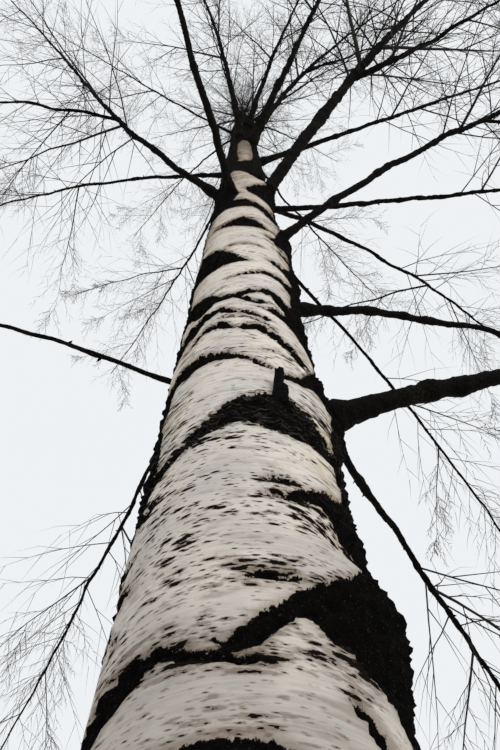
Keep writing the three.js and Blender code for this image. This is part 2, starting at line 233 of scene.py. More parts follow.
@dataclass
class Tube:
    """A closed tapering tube that ends in a point.

    Attributes:
        points: where the line of the tube goes.
        radii: the radius at each point but the last, which is a point.
        sides: the corners of a section.
        relief: how far the bark stands in and out, as a share of the radius.
    """

    points: list[Vector]
    radii: list[float]
    sides: int = 3
    relief: float = 0.0

    def roughen(self, shell: np.ndarray, line: np.ndarray) -> None:
        """Moves the corners of the tube's rings in and out by a coarse and a fine noise.

        Args:
            shell: the corners, ring by ring.
            line: the middle of each ring.
        """
        for ring, middle in zip(shell, line):
            for corner in ring:
                at = Vector(corner)
                swell = noise.noise(at * COARSE_BARK) + FINE_SHARE * noise.noise(at * FINE_BARK)
                corner[:] = middle + (corner - middle) * (1 + self.relief * swell)


def units(ways: np.ndarray) -> np.ndarray:
    """Returns headings brought to a length of one."""
    return ways / np.maximum(np.linalg.norm(ways, axis=-1, keepdims=True), 1e-9)


def tube_corners(tubes: list[Tube], rings: int, sides: int) -> np.ndarray:
    """Places the corners of tubes that have as many rings and sides as each other.

    Args:
        tubes: the tubes.
        rings: the points of each line.
        sides: the corners of each section.

    Returns:
        One row for each corner: for each tube its rings, and then its tip.
    """
    lines = np.array([[tuple(p) for p in tube.points] for tube in tubes], float)
    radii = np.array([tube.radii[: rings - 1] for tube in tubes], float)
    steps = units(np.diff(lines, axis=1))
    along = units(np.concatenate([steps[:, :1], steps[:, 1:] + steps[:, :-1], steps[:, -1:]], axis=1))
    steep = np.abs(along[:, 0, 2:3]) > 0.9
    across = np.cross(along[:, 0], np.where(steep, [1.0, 0, 0], [0, 0, 1.0]))
    turns = np.arange(sides) * 2 * math.pi / sides
    cosines, sines = np.cos(turns)[None, :, None], np.sin(turns)[None, :, None]
    placed = []
    for ring in range(rings - 1):
        way = along[:, ring]
        across = units(across - (across * way).sum(1, keepdims=True) * way)
        out = cosines * across[:, None] + sines * np.cross(way, across)[:, None]
        placed.append(lines[:, ring, None] + radii[:, ring, None, None] * out)
    shells = np.stack(placed, axis=1)
    for tube, shell, line in zip(tubes, shells, lines):
        if tube.relief:
            tube.roughen(shell, line)
    return np.concatenate([shells.reshape(len(tubes), -1, 3), lines[:, -1:]], axis=1).reshape(-1, 3)


def tube_faces(count: int, rings: int, sides: int) -> list[np.ndarray]:
    """Numbers the faces: four-sided ones between rings, three-sided ones at the tip, and one over the root.

    Args:
        count: how many tubes there are.
        rings: the points of each line.
        sides: the corners of each section.

    Returns:
        Arrays of corner numbers, one row for each face.
    """
    size = (rings - 1) * sides + 1
    start = (np.arange(count) * size)[:, None]
    side = np.arange(sides)
    after = (side + 1) % sides
    last = (rings - 2) * sides
    made = []
    if rings > 2:
        ring = (np.arange(rings - 2) * sides)[:, None]
        quads = np.stack([ring + side, ring + after, ring + after + sides, ring + side + sides], axis=-1)
        made.append((start[:, :, None] + quads.reshape(1, -1, 4)).reshape(-1, 4))
    tips = np.stack([last + side, last + after, np.full(sides, size - 1)], axis=-1)
    made.append((start[:, :, None] + tips[None]).reshape(-1, 3))
    made.append(start + side[::-1][None])
    return made


def join_tubes(name: str, tubes: list[Tube]) -> bpy.types.Object:
    """Joins tubes in one mesh.

    Args:
        name: the piece's name.
        tubes: the tubes, each of which becomes a closed shell.

    Returns:
        The piece.
    """
    kinds: dict[tuple[int, int], list[Tube]] = {}
    for tube in tubes:
        kinds.setdefault((len(tube.points), tube.sides), []).append(tube)
    corners, faces, count = [], [], 0
    for (rings, sides), alike in sorted(kinds.items()):
        corners.append(tube_corners(alike, rings, sides))
        faces.extend(rows + count for rows in tube_faces(len(alike), rings, sides))
        count += len(corners[-1])
    return mesh_object(name, np.concatenate(corners), faces)


# The trunk's form, as in the part's source


@dataclass(frozen=True)
class Swelling:
    """A swelling on the trunk: where it is, how far it stands out, and its half height and half width."""

    height: float
    azimuth: float
    out: float
    tall: float
    wide: float

    def stands(self, height: np.ndarray, azimuth: np.ndarray) -> np.ndarray:
        """Returns how far the swelling stands out at each height and azimuth."""
        up, turn = (height - self.height) / self.tall, turn_from(azimuth, self.azimuth) / self.wide
        return self.out * np.exp(-0.5 * (up * up + turn * turn))


@dataclass(frozen=True)
class TrunkForm:
    """The trunk's line, and its radius at each height and azimuth."""

    tree_height: float = 14.0
    top: float = 13.2
    stem_radius: float = 0.157
    taper_power: float = 0.85
    lean_run: float = -0.0095
    bow_from: float = 5.0
    bow_back: float = 0.17
    flare: float = 0.088
    flare_height: float = 0.21
    buttresses: int = 5
    buttress_share: float = 0.3
    buttress_turn: float = 20
    swellings: tuple[Swelling, ...] = (
        Swelling(1.912, 82, 0.025, 0.064, 30),
        Swelling(2.33, 96, 0.009, 0.07, 24),
        Swelling(2.2, 18, 0.005, 0.045, 26),
        Swelling(3.06, -38, 0.006, 0.08, 26),
    )

    def axis(self, height: float) -> Vector:
        """Returns the middle of the trunk at a height."""
        share = max(height - self.bow_from, 0) / (self.tree_height - self.bow_from)
        return Vector((self.lean_run * height, self.bow_back * share * share, height))

    def off_axis(self, point: Vector) -> float:
        """Returns how far a point lies to the side of the trunk's middle."""
        axis = self.axis(point.z)
        return math.hypot(point.x - axis.x, point.y - axis.y)

    def taper(self, height: float) -> float:
        """Returns the plain radius at a height, without flare or swellings."""
        return self.stem_radius * (1 - min(height, self.tree_height) / self.tree_height) ** self.taper_power

    def radius(self, height: np.ndarray, azimuth: np.ndarray) -> np.ndarray:
        """Measures the trunk's radius.

        Args:
            height: the heights of the points.
            azimuth: their azimuths.

        Returns:
            A radius for each point.
        """
        lobes = 1 + self.buttress_share * np.cos(self.buttresses * np.radians(azimuth - self.buttress_turn))
        radius = self.stem_radius * (1 - height / self.tree_height) ** self.taper_power
        radius = radius + self.flare * np.exp(-height / self.flare_height) * lobes
        for swelling in self.swellings:
            radius = radius + swelling.stands(height, azimuth)
        return radius


FORM = TrunkForm()

# Hollows above the burl, lumps round the roots of the right-hand boughs, and the knot below the fork
FLANK_LUMPS = (
    Swelling(1.967, 53, -0.02, 0.024, 15),
    Swelling(1.985, 77, -0.006, 0.025, 16),
    Swelling(2.345, 92, 0.016, 0.03, 14),
    Swelling(3.2, 92, 0.02, 0.09, 16),
    Swelling(3.56, 92, 0.026, 0.13, 16),
    Swelling(7.7, 20, 0.035, 0.55, 75),
)

# Black bands and scars of the bark, and black painted shade on the upper trunk
METRES_PER_DEGREE = 0.0024
BAND_END_SLOPE = 0.0022


@dataclass(frozen=True)
class Band:
    """A black band or scar on the bark: rows of azimuth, lower edge and upper edge."""

    edges: tuple[Triple, ...]

    def inside(self, height: np.ndarray, azimuth: np.ndarray) -> np.ndarray:
        """Measures how far inside the band's edges points are.

        Args:
            height: the points' heights.
            azimuth: their azimuths.

        Returns:
            The distance to the nearer edge, which is below zero outside the band.
        """
        turns, low, high = np.array(self.edges, float).T
        centre = (turns[0] + turns[-1]) / 2
        near = turn_from(azimuth, centre) + centre
        past = np.maximum(turns[0] - near, 0) + np.maximum(near - turns[-1], 0)
        middle = np.interp(near, turns, (low + high) / 2)
        half = np.interp(near, turns, (high - low) / 2) - past * BAND_END_SLOPE
        return half - np.abs(height - middle)


@dataclass(frozen=True)
class BlackCrustAndShade:
    """Rough black bark down one side of the trunk, which high up stands for painted shade as well: rows of
    height, and the azimuths of its two edges.
    """

    edges: tuple[Triple, ...]

    def inside(self, height: np.ndarray, azimuth: np.ndarray) -> np.ndarray:
        """Measures how far inside the crust's edges points are.

        Args:
            height: the points' heights.
            azimuth: their azimuths.

        Returns:
            The distance to the nearer edge, which is below zero outside the crust.
        """
        heights, near, far = np.array(self.edges, float).T
        centre = np.interp(height, heights, (near + far) / 2)
        half = np.interp(height, heights, (far - near) / 2)
        past = np.maximum(heights[0] - height, 0) + np.maximum(height - heights[-1], 0)
        return (half - np.abs(turn_from(azimuth, centre))) * METRES_PER_DEGREE - past


# The left flank low down, the right flank, and the left side from 4 m up. Above about 4 m the right and left
# crusts are partly black bark and partly painted shade under the crown; from 6.1 m up they meet at the front
# and paint the whole front half black to the top.
CRUST_AND_SHADE_EDGES = (
    (
        (1.845, -84, -80), (1.865, -92, -63), (1.885, -90, -80), (1.91, -98, -54), (1.942, -94, -78),
        (1.966, -98, -57), (2.0, -92, -76), (2.05, -100, -62), (2.12, -104, -54), (2.3, -106, -60),
        (2.385, -104, -54), (2.42, -98, -76), (2.5, -96, -74), (2.54, -100, -56), (2.61, -104, -60),
        (2.66, -104, -67), (2.72, -104, -60), (3.02, -104, -63),
    ),
    (
        (1.86, 48, 118), (1.91, 47, 112), (1.95, 54, 106), (1.985, 62, 106), (2.01, 51, 104),
        (2.04, 47, 104), (2.07, 56, 104), (2.1, 58, 106), (2.14, 54, 110), (2.2, 58, 118), (2.3, 66, 122),
        (2.44, 65, 126), (2.53, 66, 112), (2.58, 48, 106), (2.63, 36, 106), (2.7, 37, 106), (2.74, 46, 108),
        (2.83, 49, 112), (2.92, 55, 108), (3.05, 63, 104), (3.2, 64, 112), (3.35, 74, 112), (3.6, 66, 116),
        (3.8, 62, 112), (4.1, 72, 112), (4.5, 48, 112), (5.0, 22, 112), (5.3, 29, 112), (5.85, 27, 112),
        # Painted shade: from 6.1 m up this crust reaches round to the front, up to the top
        (6.1, -4, 112), (8.8, -2, 112), (13.2, -2, 112),
    ),
    (
        # Partly painted shade under the crown, wholly so from 6.1 m up, where it reaches to the front
        (4.2, -112, -34), (4.6, -112, -30), (4.9, -112, -24), (5.02, -112, -9), (5.3, -112, -17),
        (5.85, -112, -18), (6.1, -112, 4), (6.8, -112, 4), (7.0, -112, -26), (7.3, -112, -26),
        (7.5, -112, 6), (13.2, -112, 6),
    ),
)

# The bands that show from the front, from the lowest up
BAND_EDGES = (
    (
        (-30, 1.684, 1.692), (-20, 1.67, 1.696), (-6, 1.666, 1.698), (4, 1.666, 1.699), (10, 1.67, 1.694),
        (16, 1.68, 1.687),
    ),
    (
        (34, 1.744, 1.75), (37, 1.737, 1.751), (40, 1.728, 1.75), (44, 1.718, 1.742), (50, 1.702, 1.73),
        (64, 1.68, 1.7),
    ),
    (
        (-80, 1.722, 1.772), (-62, 1.738, 1.79), (-45, 1.759, 1.8), (-30, 1.781, 1.8), (-15, 1.771, 1.781),
        (0, 1.763, 1.772), (9, 1.763, 1.767),
    ),
    (
        (-12, 1.788, 1.794), (-7, 1.779, 1.791), (-3, 1.777, 1.799), (2, 1.779, 1.813), (6, 1.789, 1.822),
        (13, 1.808, 1.836), (18, 1.82, 1.848), (22, 1.818, 1.857), (30, 1.806, 1.875), (36, 1.803, 1.886),
        (42, 1.792, 1.9), (50, 1.786, 1.925), (60, 1.77, 1.956), (88, 1.74, 2.005), (104, 1.76, 1.995),
        (118, 1.81, 1.95), (130, 1.86, 1.9),
    ),
    ((0, 1.862, 1.867), (5, 1.863, 1.872), (12, 1.862, 1.869), (20, 1.864, 1.87)),
    ((-74, 1.924, 1.937), (-60, 1.914, 1.926), (-50, 1.9, 1.906)),
    ((-74, 1.893, 1.91), (-58, 1.847, 1.853)),
    ((-62, 2.03, 2.05), (-55, 2.03, 2.068), (-49, 2.042, 2.055)),
    ((-56, 2.094, 2.105), (-48, 2.099, 2.107)),
    (
        (9, 1.998, 2.003), (17, 1.994, 2.01), (25, 2.001, 2.023), (36, 2.013, 2.043), (43, 2.004, 2.058),
        (50, 1.99, 2.056), (60, 1.985, 2.085), (76, 1.99, 2.09), (92, 2.0, 2.06),
    ),
    ((8, 2.027, 2.031), (16, 2.027, 2.043), (24, 2.03, 2.036)),
    (
        (-80, 1.98, 2.1), (-66, 2.04, 2.115), (-56, 2.085, 2.122), (-45, 2.108, 2.134), (-30, 2.13, 2.166),
        (-20, 2.147, 2.194), (-10, 2.158, 2.222), (0, 2.166, 2.243), (10, 2.152, 2.256), (20, 2.144, 2.263),
        (27, 2.143, 2.26), (36, 2.147, 2.245), (45, 2.142, 2.222), (52, 2.144, 2.2), (58, 2.1, 2.18),
        (66, 2.05, 2.15), (76, 2.0, 2.1),
    ),
    (
        (-78, 2.34, 2.42), (-60, 2.38, 2.436), (-50, 2.384, 2.452), (-40, 2.38, 2.456), (-34, 2.392, 2.45),
        (-20, 2.392, 2.43), (-5, 2.382, 2.406), (10, 2.36, 2.38), (17, 2.355, 2.365),
    ),
    (
        (24, 2.335, 2.352), (40, 2.342, 2.378), (50, 2.366, 2.43), (60, 2.36, 2.475), (70, 2.3, 2.53),
        (84, 2.2, 2.58), (100, 2.18, 2.58), (114, 2.26, 2.54), (126, 2.38, 2.45),
    ),
    ((12, 2.423, 2.428), (22, 2.429, 2.436), (34, 2.423, 2.43)),
    ((40, 2.447, 2.452), (51, 2.449, 2.454)),
    ((-46, 2.505, 2.53), (-38, 2.53, 2.552), (-32, 2.55, 2.578), (-27, 2.543, 2.584)),
    ((-23, 2.545, 2.574), (-18, 2.541, 2.575), (-13, 2.53, 2.567), (-8, 2.524, 2.536), (0, 2.517, 2.533)),
    ((1, 2.517, 2.55), (9, 2.519, 2.56), (14, 2.507, 2.548), (20, 2.498, 2.528)),
    ((21, 2.494, 2.53), (26, 2.478, 2.528), (31, 2.462, 2.513), (40, 2.438, 2.472), (49, 2.43, 2.448)),
    ((34, 2.5, 2.506), (39, 2.474, 2.502), (45, 2.446, 2.472)),
    ((-19, 2.597, 2.603), (0, 2.584, 2.592), (12, 2.566, 2.575), (22, 2.54, 2.55)),
    (
        (-66, 2.56, 2.61), (-56, 2.55, 2.632), (-47, 2.56, 2.643), (-40, 2.578, 2.66), (-33, 2.62, 2.66),
        (-24, 2.625, 2.652), (-20, 2.63, 2.67), (-13, 2.619, 2.645), (-6, 2.612, 2.628), (2, 2.604, 2.624),
        (10, 2.593, 2.618), (18, 2.578, 2.598),
    ),
    (
        (-76, 2.72, 2.82), (-60, 2.725, 2.828), (-50, 2.69, 2.805), (-43, 2.667, 2.796),
        (-37, 2.672, 2.788), (-30, 2.69, 2.772), (-24, 2.705, 2.752), (-12, 2.706, 2.738),
        (-5, 2.713, 2.743), (6, 2.738, 2.764), (16, 2.752, 2.779), (24, 2.745, 2.791), (28, 2.718, 2.79),
        (34, 2.69, 2.78), (40, 2.68, 2.76), (47, 2.66, 2.76), (56, 2.62, 2.84), (80, 2.56, 2.92),
        (96, 2.62, 2.88),
    ),
    ((-33, 2.768, 2.776), (-20, 2.796, 2.803)),
    ((-4, 2.698, 2.725), (4, 2.678, 2.706), (10, 2.67, 2.698), (17, 2.682, 2.703)),
    ((9, 2.65, 2.656), (17, 2.644, 2.661), (25, 2.633, 2.672), (34, 2.622, 2.67), (42, 2.6, 2.67)),
    (
        (-16, 2.854, 2.864), (0, 2.871, 2.889), (20, 2.903, 2.927), (36, 2.908, 2.955), (52, 2.87, 2.96),
        (66, 2.82, 3.0), (80, 2.9, 2.98),
    ),
    (
        (-80, 2.96, 3.24), (-52, 2.965, 3.21), (-32, 2.962, 3.17), (-16, 2.972, 3.1), (-5, 2.985, 3.03),
        (6, 2.996, 3.003),
    ),
    ((-16, 3.163, 3.173), (4, 3.168, 3.177), (22, 3.165, 3.172)),
    ((34, 3.034, 3.074), (50, 3.028, 3.09), (66, 3.0, 3.17), (100, 2.98, 3.2), (120, 3.04, 3.14)),
    (
        (-42, 3.47, 3.5), (-28, 3.435, 3.494), (-16, 3.412, 3.507), (0, 3.395, 3.53), (16, 3.405, 3.51),
        (28, 3.42, 3.47),
    ),
    ((44, 3.3, 3.38), (60, 3.35, 3.6), (84, 3.4, 3.62)),
    (
        (-74, 3.68, 3.9), (-30, 3.733, 3.86), (-12, 3.716, 3.86), (2, 3.716, 3.848), (13, 3.73, 3.84),
        (23, 3.712, 3.826), (31, 3.685, 3.812), (38, 3.66, 3.8), (62, 3.62, 3.78),
    ),
    ((-76, 3.84, 4.3), (-42, 3.82, 4.26), (-22, 3.83, 4.2), (-15, 3.89, 4.11), (-8, 3.985, 3.995)),
    (
        (4, 4.075, 4.085), (9, 4.02, 4.13), (20, 3.99, 4.19), (33, 3.96, 4.23), (52, 3.96, 4.3),
        (84, 3.9, 4.3),
    ),
    (
        (-100, 4.7, 5.05), (-28, 4.64, 4.97), (-6, 4.59, 4.95), (4, 4.55, 4.98), (15, 4.5, 5.02),
        (28, 4.47, 5.1), (43, 4.44, 5.3), (60, 4.38, 5.3), (100, 4.4, 5.3),
    ),
)
# The heights, and the azimuth to either side, between which these bands stand in for seeded scars
NAMED_FROM = 1.62
NAMED_TO = 6.0
NAMED_SIDE = 78

# Where along a scar its edges are measured, how much thinner its ends are, and how unevenly it is drawn
SCAR_STOPS = (-1, -0.55, 0, 0.55, 1)
THINNER_ENDS = 0.85
UNEVEN = (0.75, 1.25)
LEAST_ARCH = 0.2
# How far up a scar strays, how close those of a side lie, and how much commoner the small ones are
SCAR_STRAY = 0.6
SIDE_CLOSENESS = 36
MOSTLY_SMALL = 1.6


@dataclass(frozen=True)
class ScarRule:
    """Seeded scars on the bark, each arched like a moustache.

    Attributes:
        seed: what the scars follow from.
        count: how many there are.
        lowest: the height of the lowest.
        highest: the height of the highest.
        thick: the least and the most half thickness.
        width: the least and the most half width, in degrees.
        arch: how far the middle stands above the ends, at the most.
        sides: azimuths round which the scars lie, or none where they lie all round.
    """

    seed: int
    count: int
    lowest: float
    highest: float
    thick: tuple[float, float]
    width: tuple[float, float]
    arch: float = 0.055
    sides: tuple[float, ...] = ()

    def bands(self) -> list[Band]:
        """Draws the scars, and leaves out those that would lie over the named bands.

        Returns:
            The scars.
        """
        draw = seeded(self.seed)
        bands = []
        for index in range(self.count):
            height = blend(self.lowest, self.highest, (index + SCAR_STRAY * draw()) / self.count)
            centre = 360 * draw() - 180
            if self.sides:
                centre = self.sides[index % len(self.sides)] + centre / SIDE_CLOSENESS
            width = blend(*self.width, draw() ** MOSTLY_SMALL)
            thick = blend(*self.thick, draw() ** MOSTLY_SMALL)
            arch = self.arch * blend(LEAST_ARCH, 1, draw())
            if not self.sides and NAMED_FROM < height < NAMED_TO and abs(centre) - width < NAMED_SIDE:
                continue
            rows = []
            for part in SCAR_STOPS:
                middle = height + arch * (1 - part * part)
                half = thick * (1 - THINNER_ENDS * part * part) * blend(*UNEVEN, draw())
                rows.append((centre + part * width, middle - half, middle + half))
            bands.append(Band(tuple(rows)))
        return bands


SCAR_RULES = (
    ScarRule(611, 190, 0.15, 13.1, (0.004, 0.028), (18, 80)),
    ScarRule(733, 150, 4.5, 13.1, (0.026, 0.085), (60, 170)),
    ScarRule(857, 56, 3.0, 4.7, (0.018, 0.055), (16, 34), 0.03, (-78, 78)),
)
# How the breathing pores crowd with the height
PORE_CROWDS = (
    (0.0, 0.3), (1.2, 0.4), (1.66, 0.3), (1.74, 0.3), (1.8, 0.4), (1.86, 0.44), (1.93, 0.6), (1.965, 0.52),
    (2.02, 0.52), (2.07, 0.4), (2.12, 0.6), (2.2, 0.6), (2.3, 0.42), (2.37, 0.3), (2.44, 0.42),
    (2.54, 0.42), (2.6, 0.25), (2.8, 0.3), (3.1, 0.3), (3.4, 0.4), (3.6, 0.3), (4.2, 0.4), (6.0, 0.4),
    (13.2, 0.4),
)

# Materials


class Value:
    """What a node gives out, with sums that add the nodes that they need."""

    def __init__(self, nodes: NodeTree, node: bpy.types.Node, out: int | str) -> None:
        """Notes the tree, the node, and the name or number of its output."""
        self.nodes = nodes
        self.node = node
        self.out = out

    def other(self, out: str) -> Value:
        """Returns another output of the same node."""
        return Value(self.nodes, self.node, out)

    def __add__(self, other: object) -> Value:
        """Returns the sum."""
        return self.nodes.math("ADD", self, other)

    def __sub__(self, other: object) -> Value:
        """Returns the difference."""
        return self.nodes.math("SUBTRACT", self, other)

    def __mul__(self, other: object) -> Value:
        """Returns the product."""
        return self.nodes.math("MULTIPLY", self, other)

    def __or__(self, other: object) -> Value:
        """Returns the larger one."""
        return self.nodes.math("MAXIMUM", self, other)

    def ramp(self, low: object, high: object, start: float = 0.0, end: float = 1.0) -> Value:
        """Returns this value mapped smoothly from low and high to start and end."""
        given = dict(enumerate((self, low, high, start, end)))
        return self.nodes.add("ShaderNodeMapRange", given, interpolation_type="SMOOTHSTEP")


class NodeTree:
    """A short way to add and link the nodes of a material, group or world."""

    def __init__(self, tree: bpy.types.NodeTree) -> None:
        """Takes over a node tree and empties it."""
        self.tree = tree
        tree.nodes.clear()

    def add(self, kind: str, given: dict | None = None, out: int | str = 0, **named: object) -> Value:
        """Adds a node.

        Args:
            kind: the node's type name.
            given: inputs by number, each a number, a colour or a value to link from.
            out: the output that is wanted.
            named: the node's own settings, in lower case, and inputs by name, with _ for a space.

        Returns:
            The output.
        """
        node = self.tree.nodes.new(kind)
        inputs = dict(given or {})
        for name, value in named.items():
            if name.islower():
                setattr(node, name, value)
            else:
                inputs[name.replace("_", " ")] = value
        for name, value in inputs.items():
            self._feed(node.inputs[name], value)
        return Value(self, node, out)

    def _feed(self, socket: bpy.types.NodeSocket, value: object) -> None:
        """Sets an input to a number or colour, or links it to a value.

        Args:
            socket: the input.
            value: what it is fed.
        """
        if isinstance(value, Value):
            self.tree.links.new(value.node.outputs[value.out], socket)
        elif isinstance(value, tuple) and len(value) < len(socket.default_value):
            socket.default_value = (*value, 1)
        else:
            socket.default_value = value

    @cached_property
    def place(self) -> Value:
        """Returns object coordinates."""
        return self.add("ShaderNodeTexCoord", out="Object")

    @cached_property
    def height(self) -> Value:
        """Returns the height above the ground."""
        return self.add("ShaderNodeSeparateXYZ", out="Z", Vector=self.place)

    def math(self, operation: str, a: object, b: object) -> Value:
        """Returns the result of a sum on two numbers or values."""
        return self.add("ShaderNodeMath", {0: a, 1: b}, operation=operation)

    def mix(self, share: object, a: object, b: object, blend_type: str = "MIX") -> Value:
        """Returns a colour between a and b."""
        return self.add("ShaderNodeMix", {0: share, 6: a, 7: b}, 2, data_type="RGBA", blend_type=blend_type)

    def layered(self, colour: object, layers: Iterable[tuple[Value, object]]) -> Value:
        """Lays colours over a colour.

        Args:
            colour: the lowest one.
            layers: the others in order, each with the share that it covers before it.

        Returns:
            The colour that shows.
        """
        for share, over in layers:
            colour = self.mix(share, colour, over)
        return colour

    def scaled(self, scale: Triple) -> Value:
        """Returns object coordinates times a scale of its own along each axis."""
        return self.add("ShaderNodeMapping", vector_type="POINT", Vector=self.place, Scale=scale)

    def cloud(self, scale: Triple, detail: float = 2.0, roughness: float = 0.5) -> Value:
        """Returns a noise from 0 to 1 at a scale of its own along each axis."""
        place = self.scaled(scale)
        return self.add("ShaderNodeTexNoise", Vector=place, Scale=1.0, Detail=detail, Roughness=roughness)

    def attribute(self, name: str) -> Value:
        """Returns a number that the mesh carries."""
        return self.add("ShaderNodeAttribute", out="Fac", attribute_name=name)

    def crackle(self, scale: float) -> Value:
        """Places the effect of cracked bark, and returns its height."""
        return self.add("ShaderNodeGroup", out="Height", node_tree=crackle_group(), Scale=scale, Depth=1.0)

    def bump(self, height: Value, strength: float, depth: float) -> Value:
        """Returns the normal of a relief that deep."""
        return self.add("ShaderNodeBump", Strength=strength, Distance=depth, Height=height)


def crackle_group() -> bpy.types.NodeTree:
    """Makes the effect of dead bark that has cracked in small plates, once for every bark that shows it.

    Returns:
        A group with Scale and Depth inputs, and Crack and Height outputs.
    """
    known = bpy.data.node_groups.get("bark_crackle")
    if known:
        return known
    group = bpy.data.node_groups.new("bark_crackle", "ShaderNodeTree")
    for name, way in (("Scale", "INPUT"), ("Depth", "INPUT"), ("Crack", "OUTPUT"), ("Height", "OUTPUT")):
        group.interface.new_socket(name, in_out=way, socket_type="NodeSocketFloat")
    nodes = NodeTree(group)
    scale = nodes.add("NodeGroupInput", out="Scale")
    place = nodes.place
    plates = nodes.add("ShaderNodeTexVoronoi", feature="DISTANCE_TO_EDGE", Vector=place, Scale=scale)
    grain = nodes.add("ShaderNodeTexNoise", Vector=place, Scale=scale * 2.3, Detail=5.0, Roughness=0.7)
    crack = plates.ramp(0.02, 0.16)
    nodes.add("NodeGroupOutput", Crack=crack, Height=crack * (grain * scale.other("Depth")))
    return group


@dataclass(frozen=True)
class Patches:
    """Patches in a finish, which follow a noise.

    Attributes:
        scale: the noise's scale along each axis.
        detail: how many finer orders it has.
        roughness: how strong the finer orders are.
        low: where in the noise a patch begins.
        high: where it is full.
        most: how much a full patch covers.
    """

    scale: Triple
    detail: float
    roughness: float
    low: float
    high: float
    most: float = 1.0

    def on(self, nodes: NodeTree) -> Value:
        """Returns how much of each place the patches cover."""
        cloud = nodes.cloud(self.scale, self.detail, self.roughness)
        return cloud.ramp(self.low, self.high, 0.0, self.most)


@dataclass(frozen=True)
class Finish:
    """What every finish has.

    Attributes:
        name: the material's name.
        roughness: the roughness where no texture changes it.
        gloss: the specular level.
    """

    name: str
    roughness: float
    gloss: float

    def material(self) -> bpy.types.Material:
        """Makes the material on first use.

        Returns:
            The material.
        """
        known = bpy.data.materials.get(self.name)
        if known:
            return known
        made = bpy.data.materials.new(self.name)
        made.use_nodes = True
        nodes = NodeTree(made.node_tree)
        fed = {"Roughness": self.roughness, **self.feeds(nodes)}
        shader = nodes.add("ShaderNodeBsdfPrincipled", Metallic=0.0, Specular_IOR_Level=self.gloss, **fed)
        nodes.add("ShaderNodeOutputMaterial", Surface=shader)
        return made

    def feeds(self, nodes: NodeTree) -> dict[str, object]:
        """Returns what feeds the shader's colour, roughness and normal, by the input's name."""
        raise NotImplementedError


# Heights where a change starts and ends, and the amounts there
Fade = tuple[float, float, float, float]
# A noise: its scale along each axis, how many finer orders it has, and how strong they are
Grain = tuple[Triple, float, float]


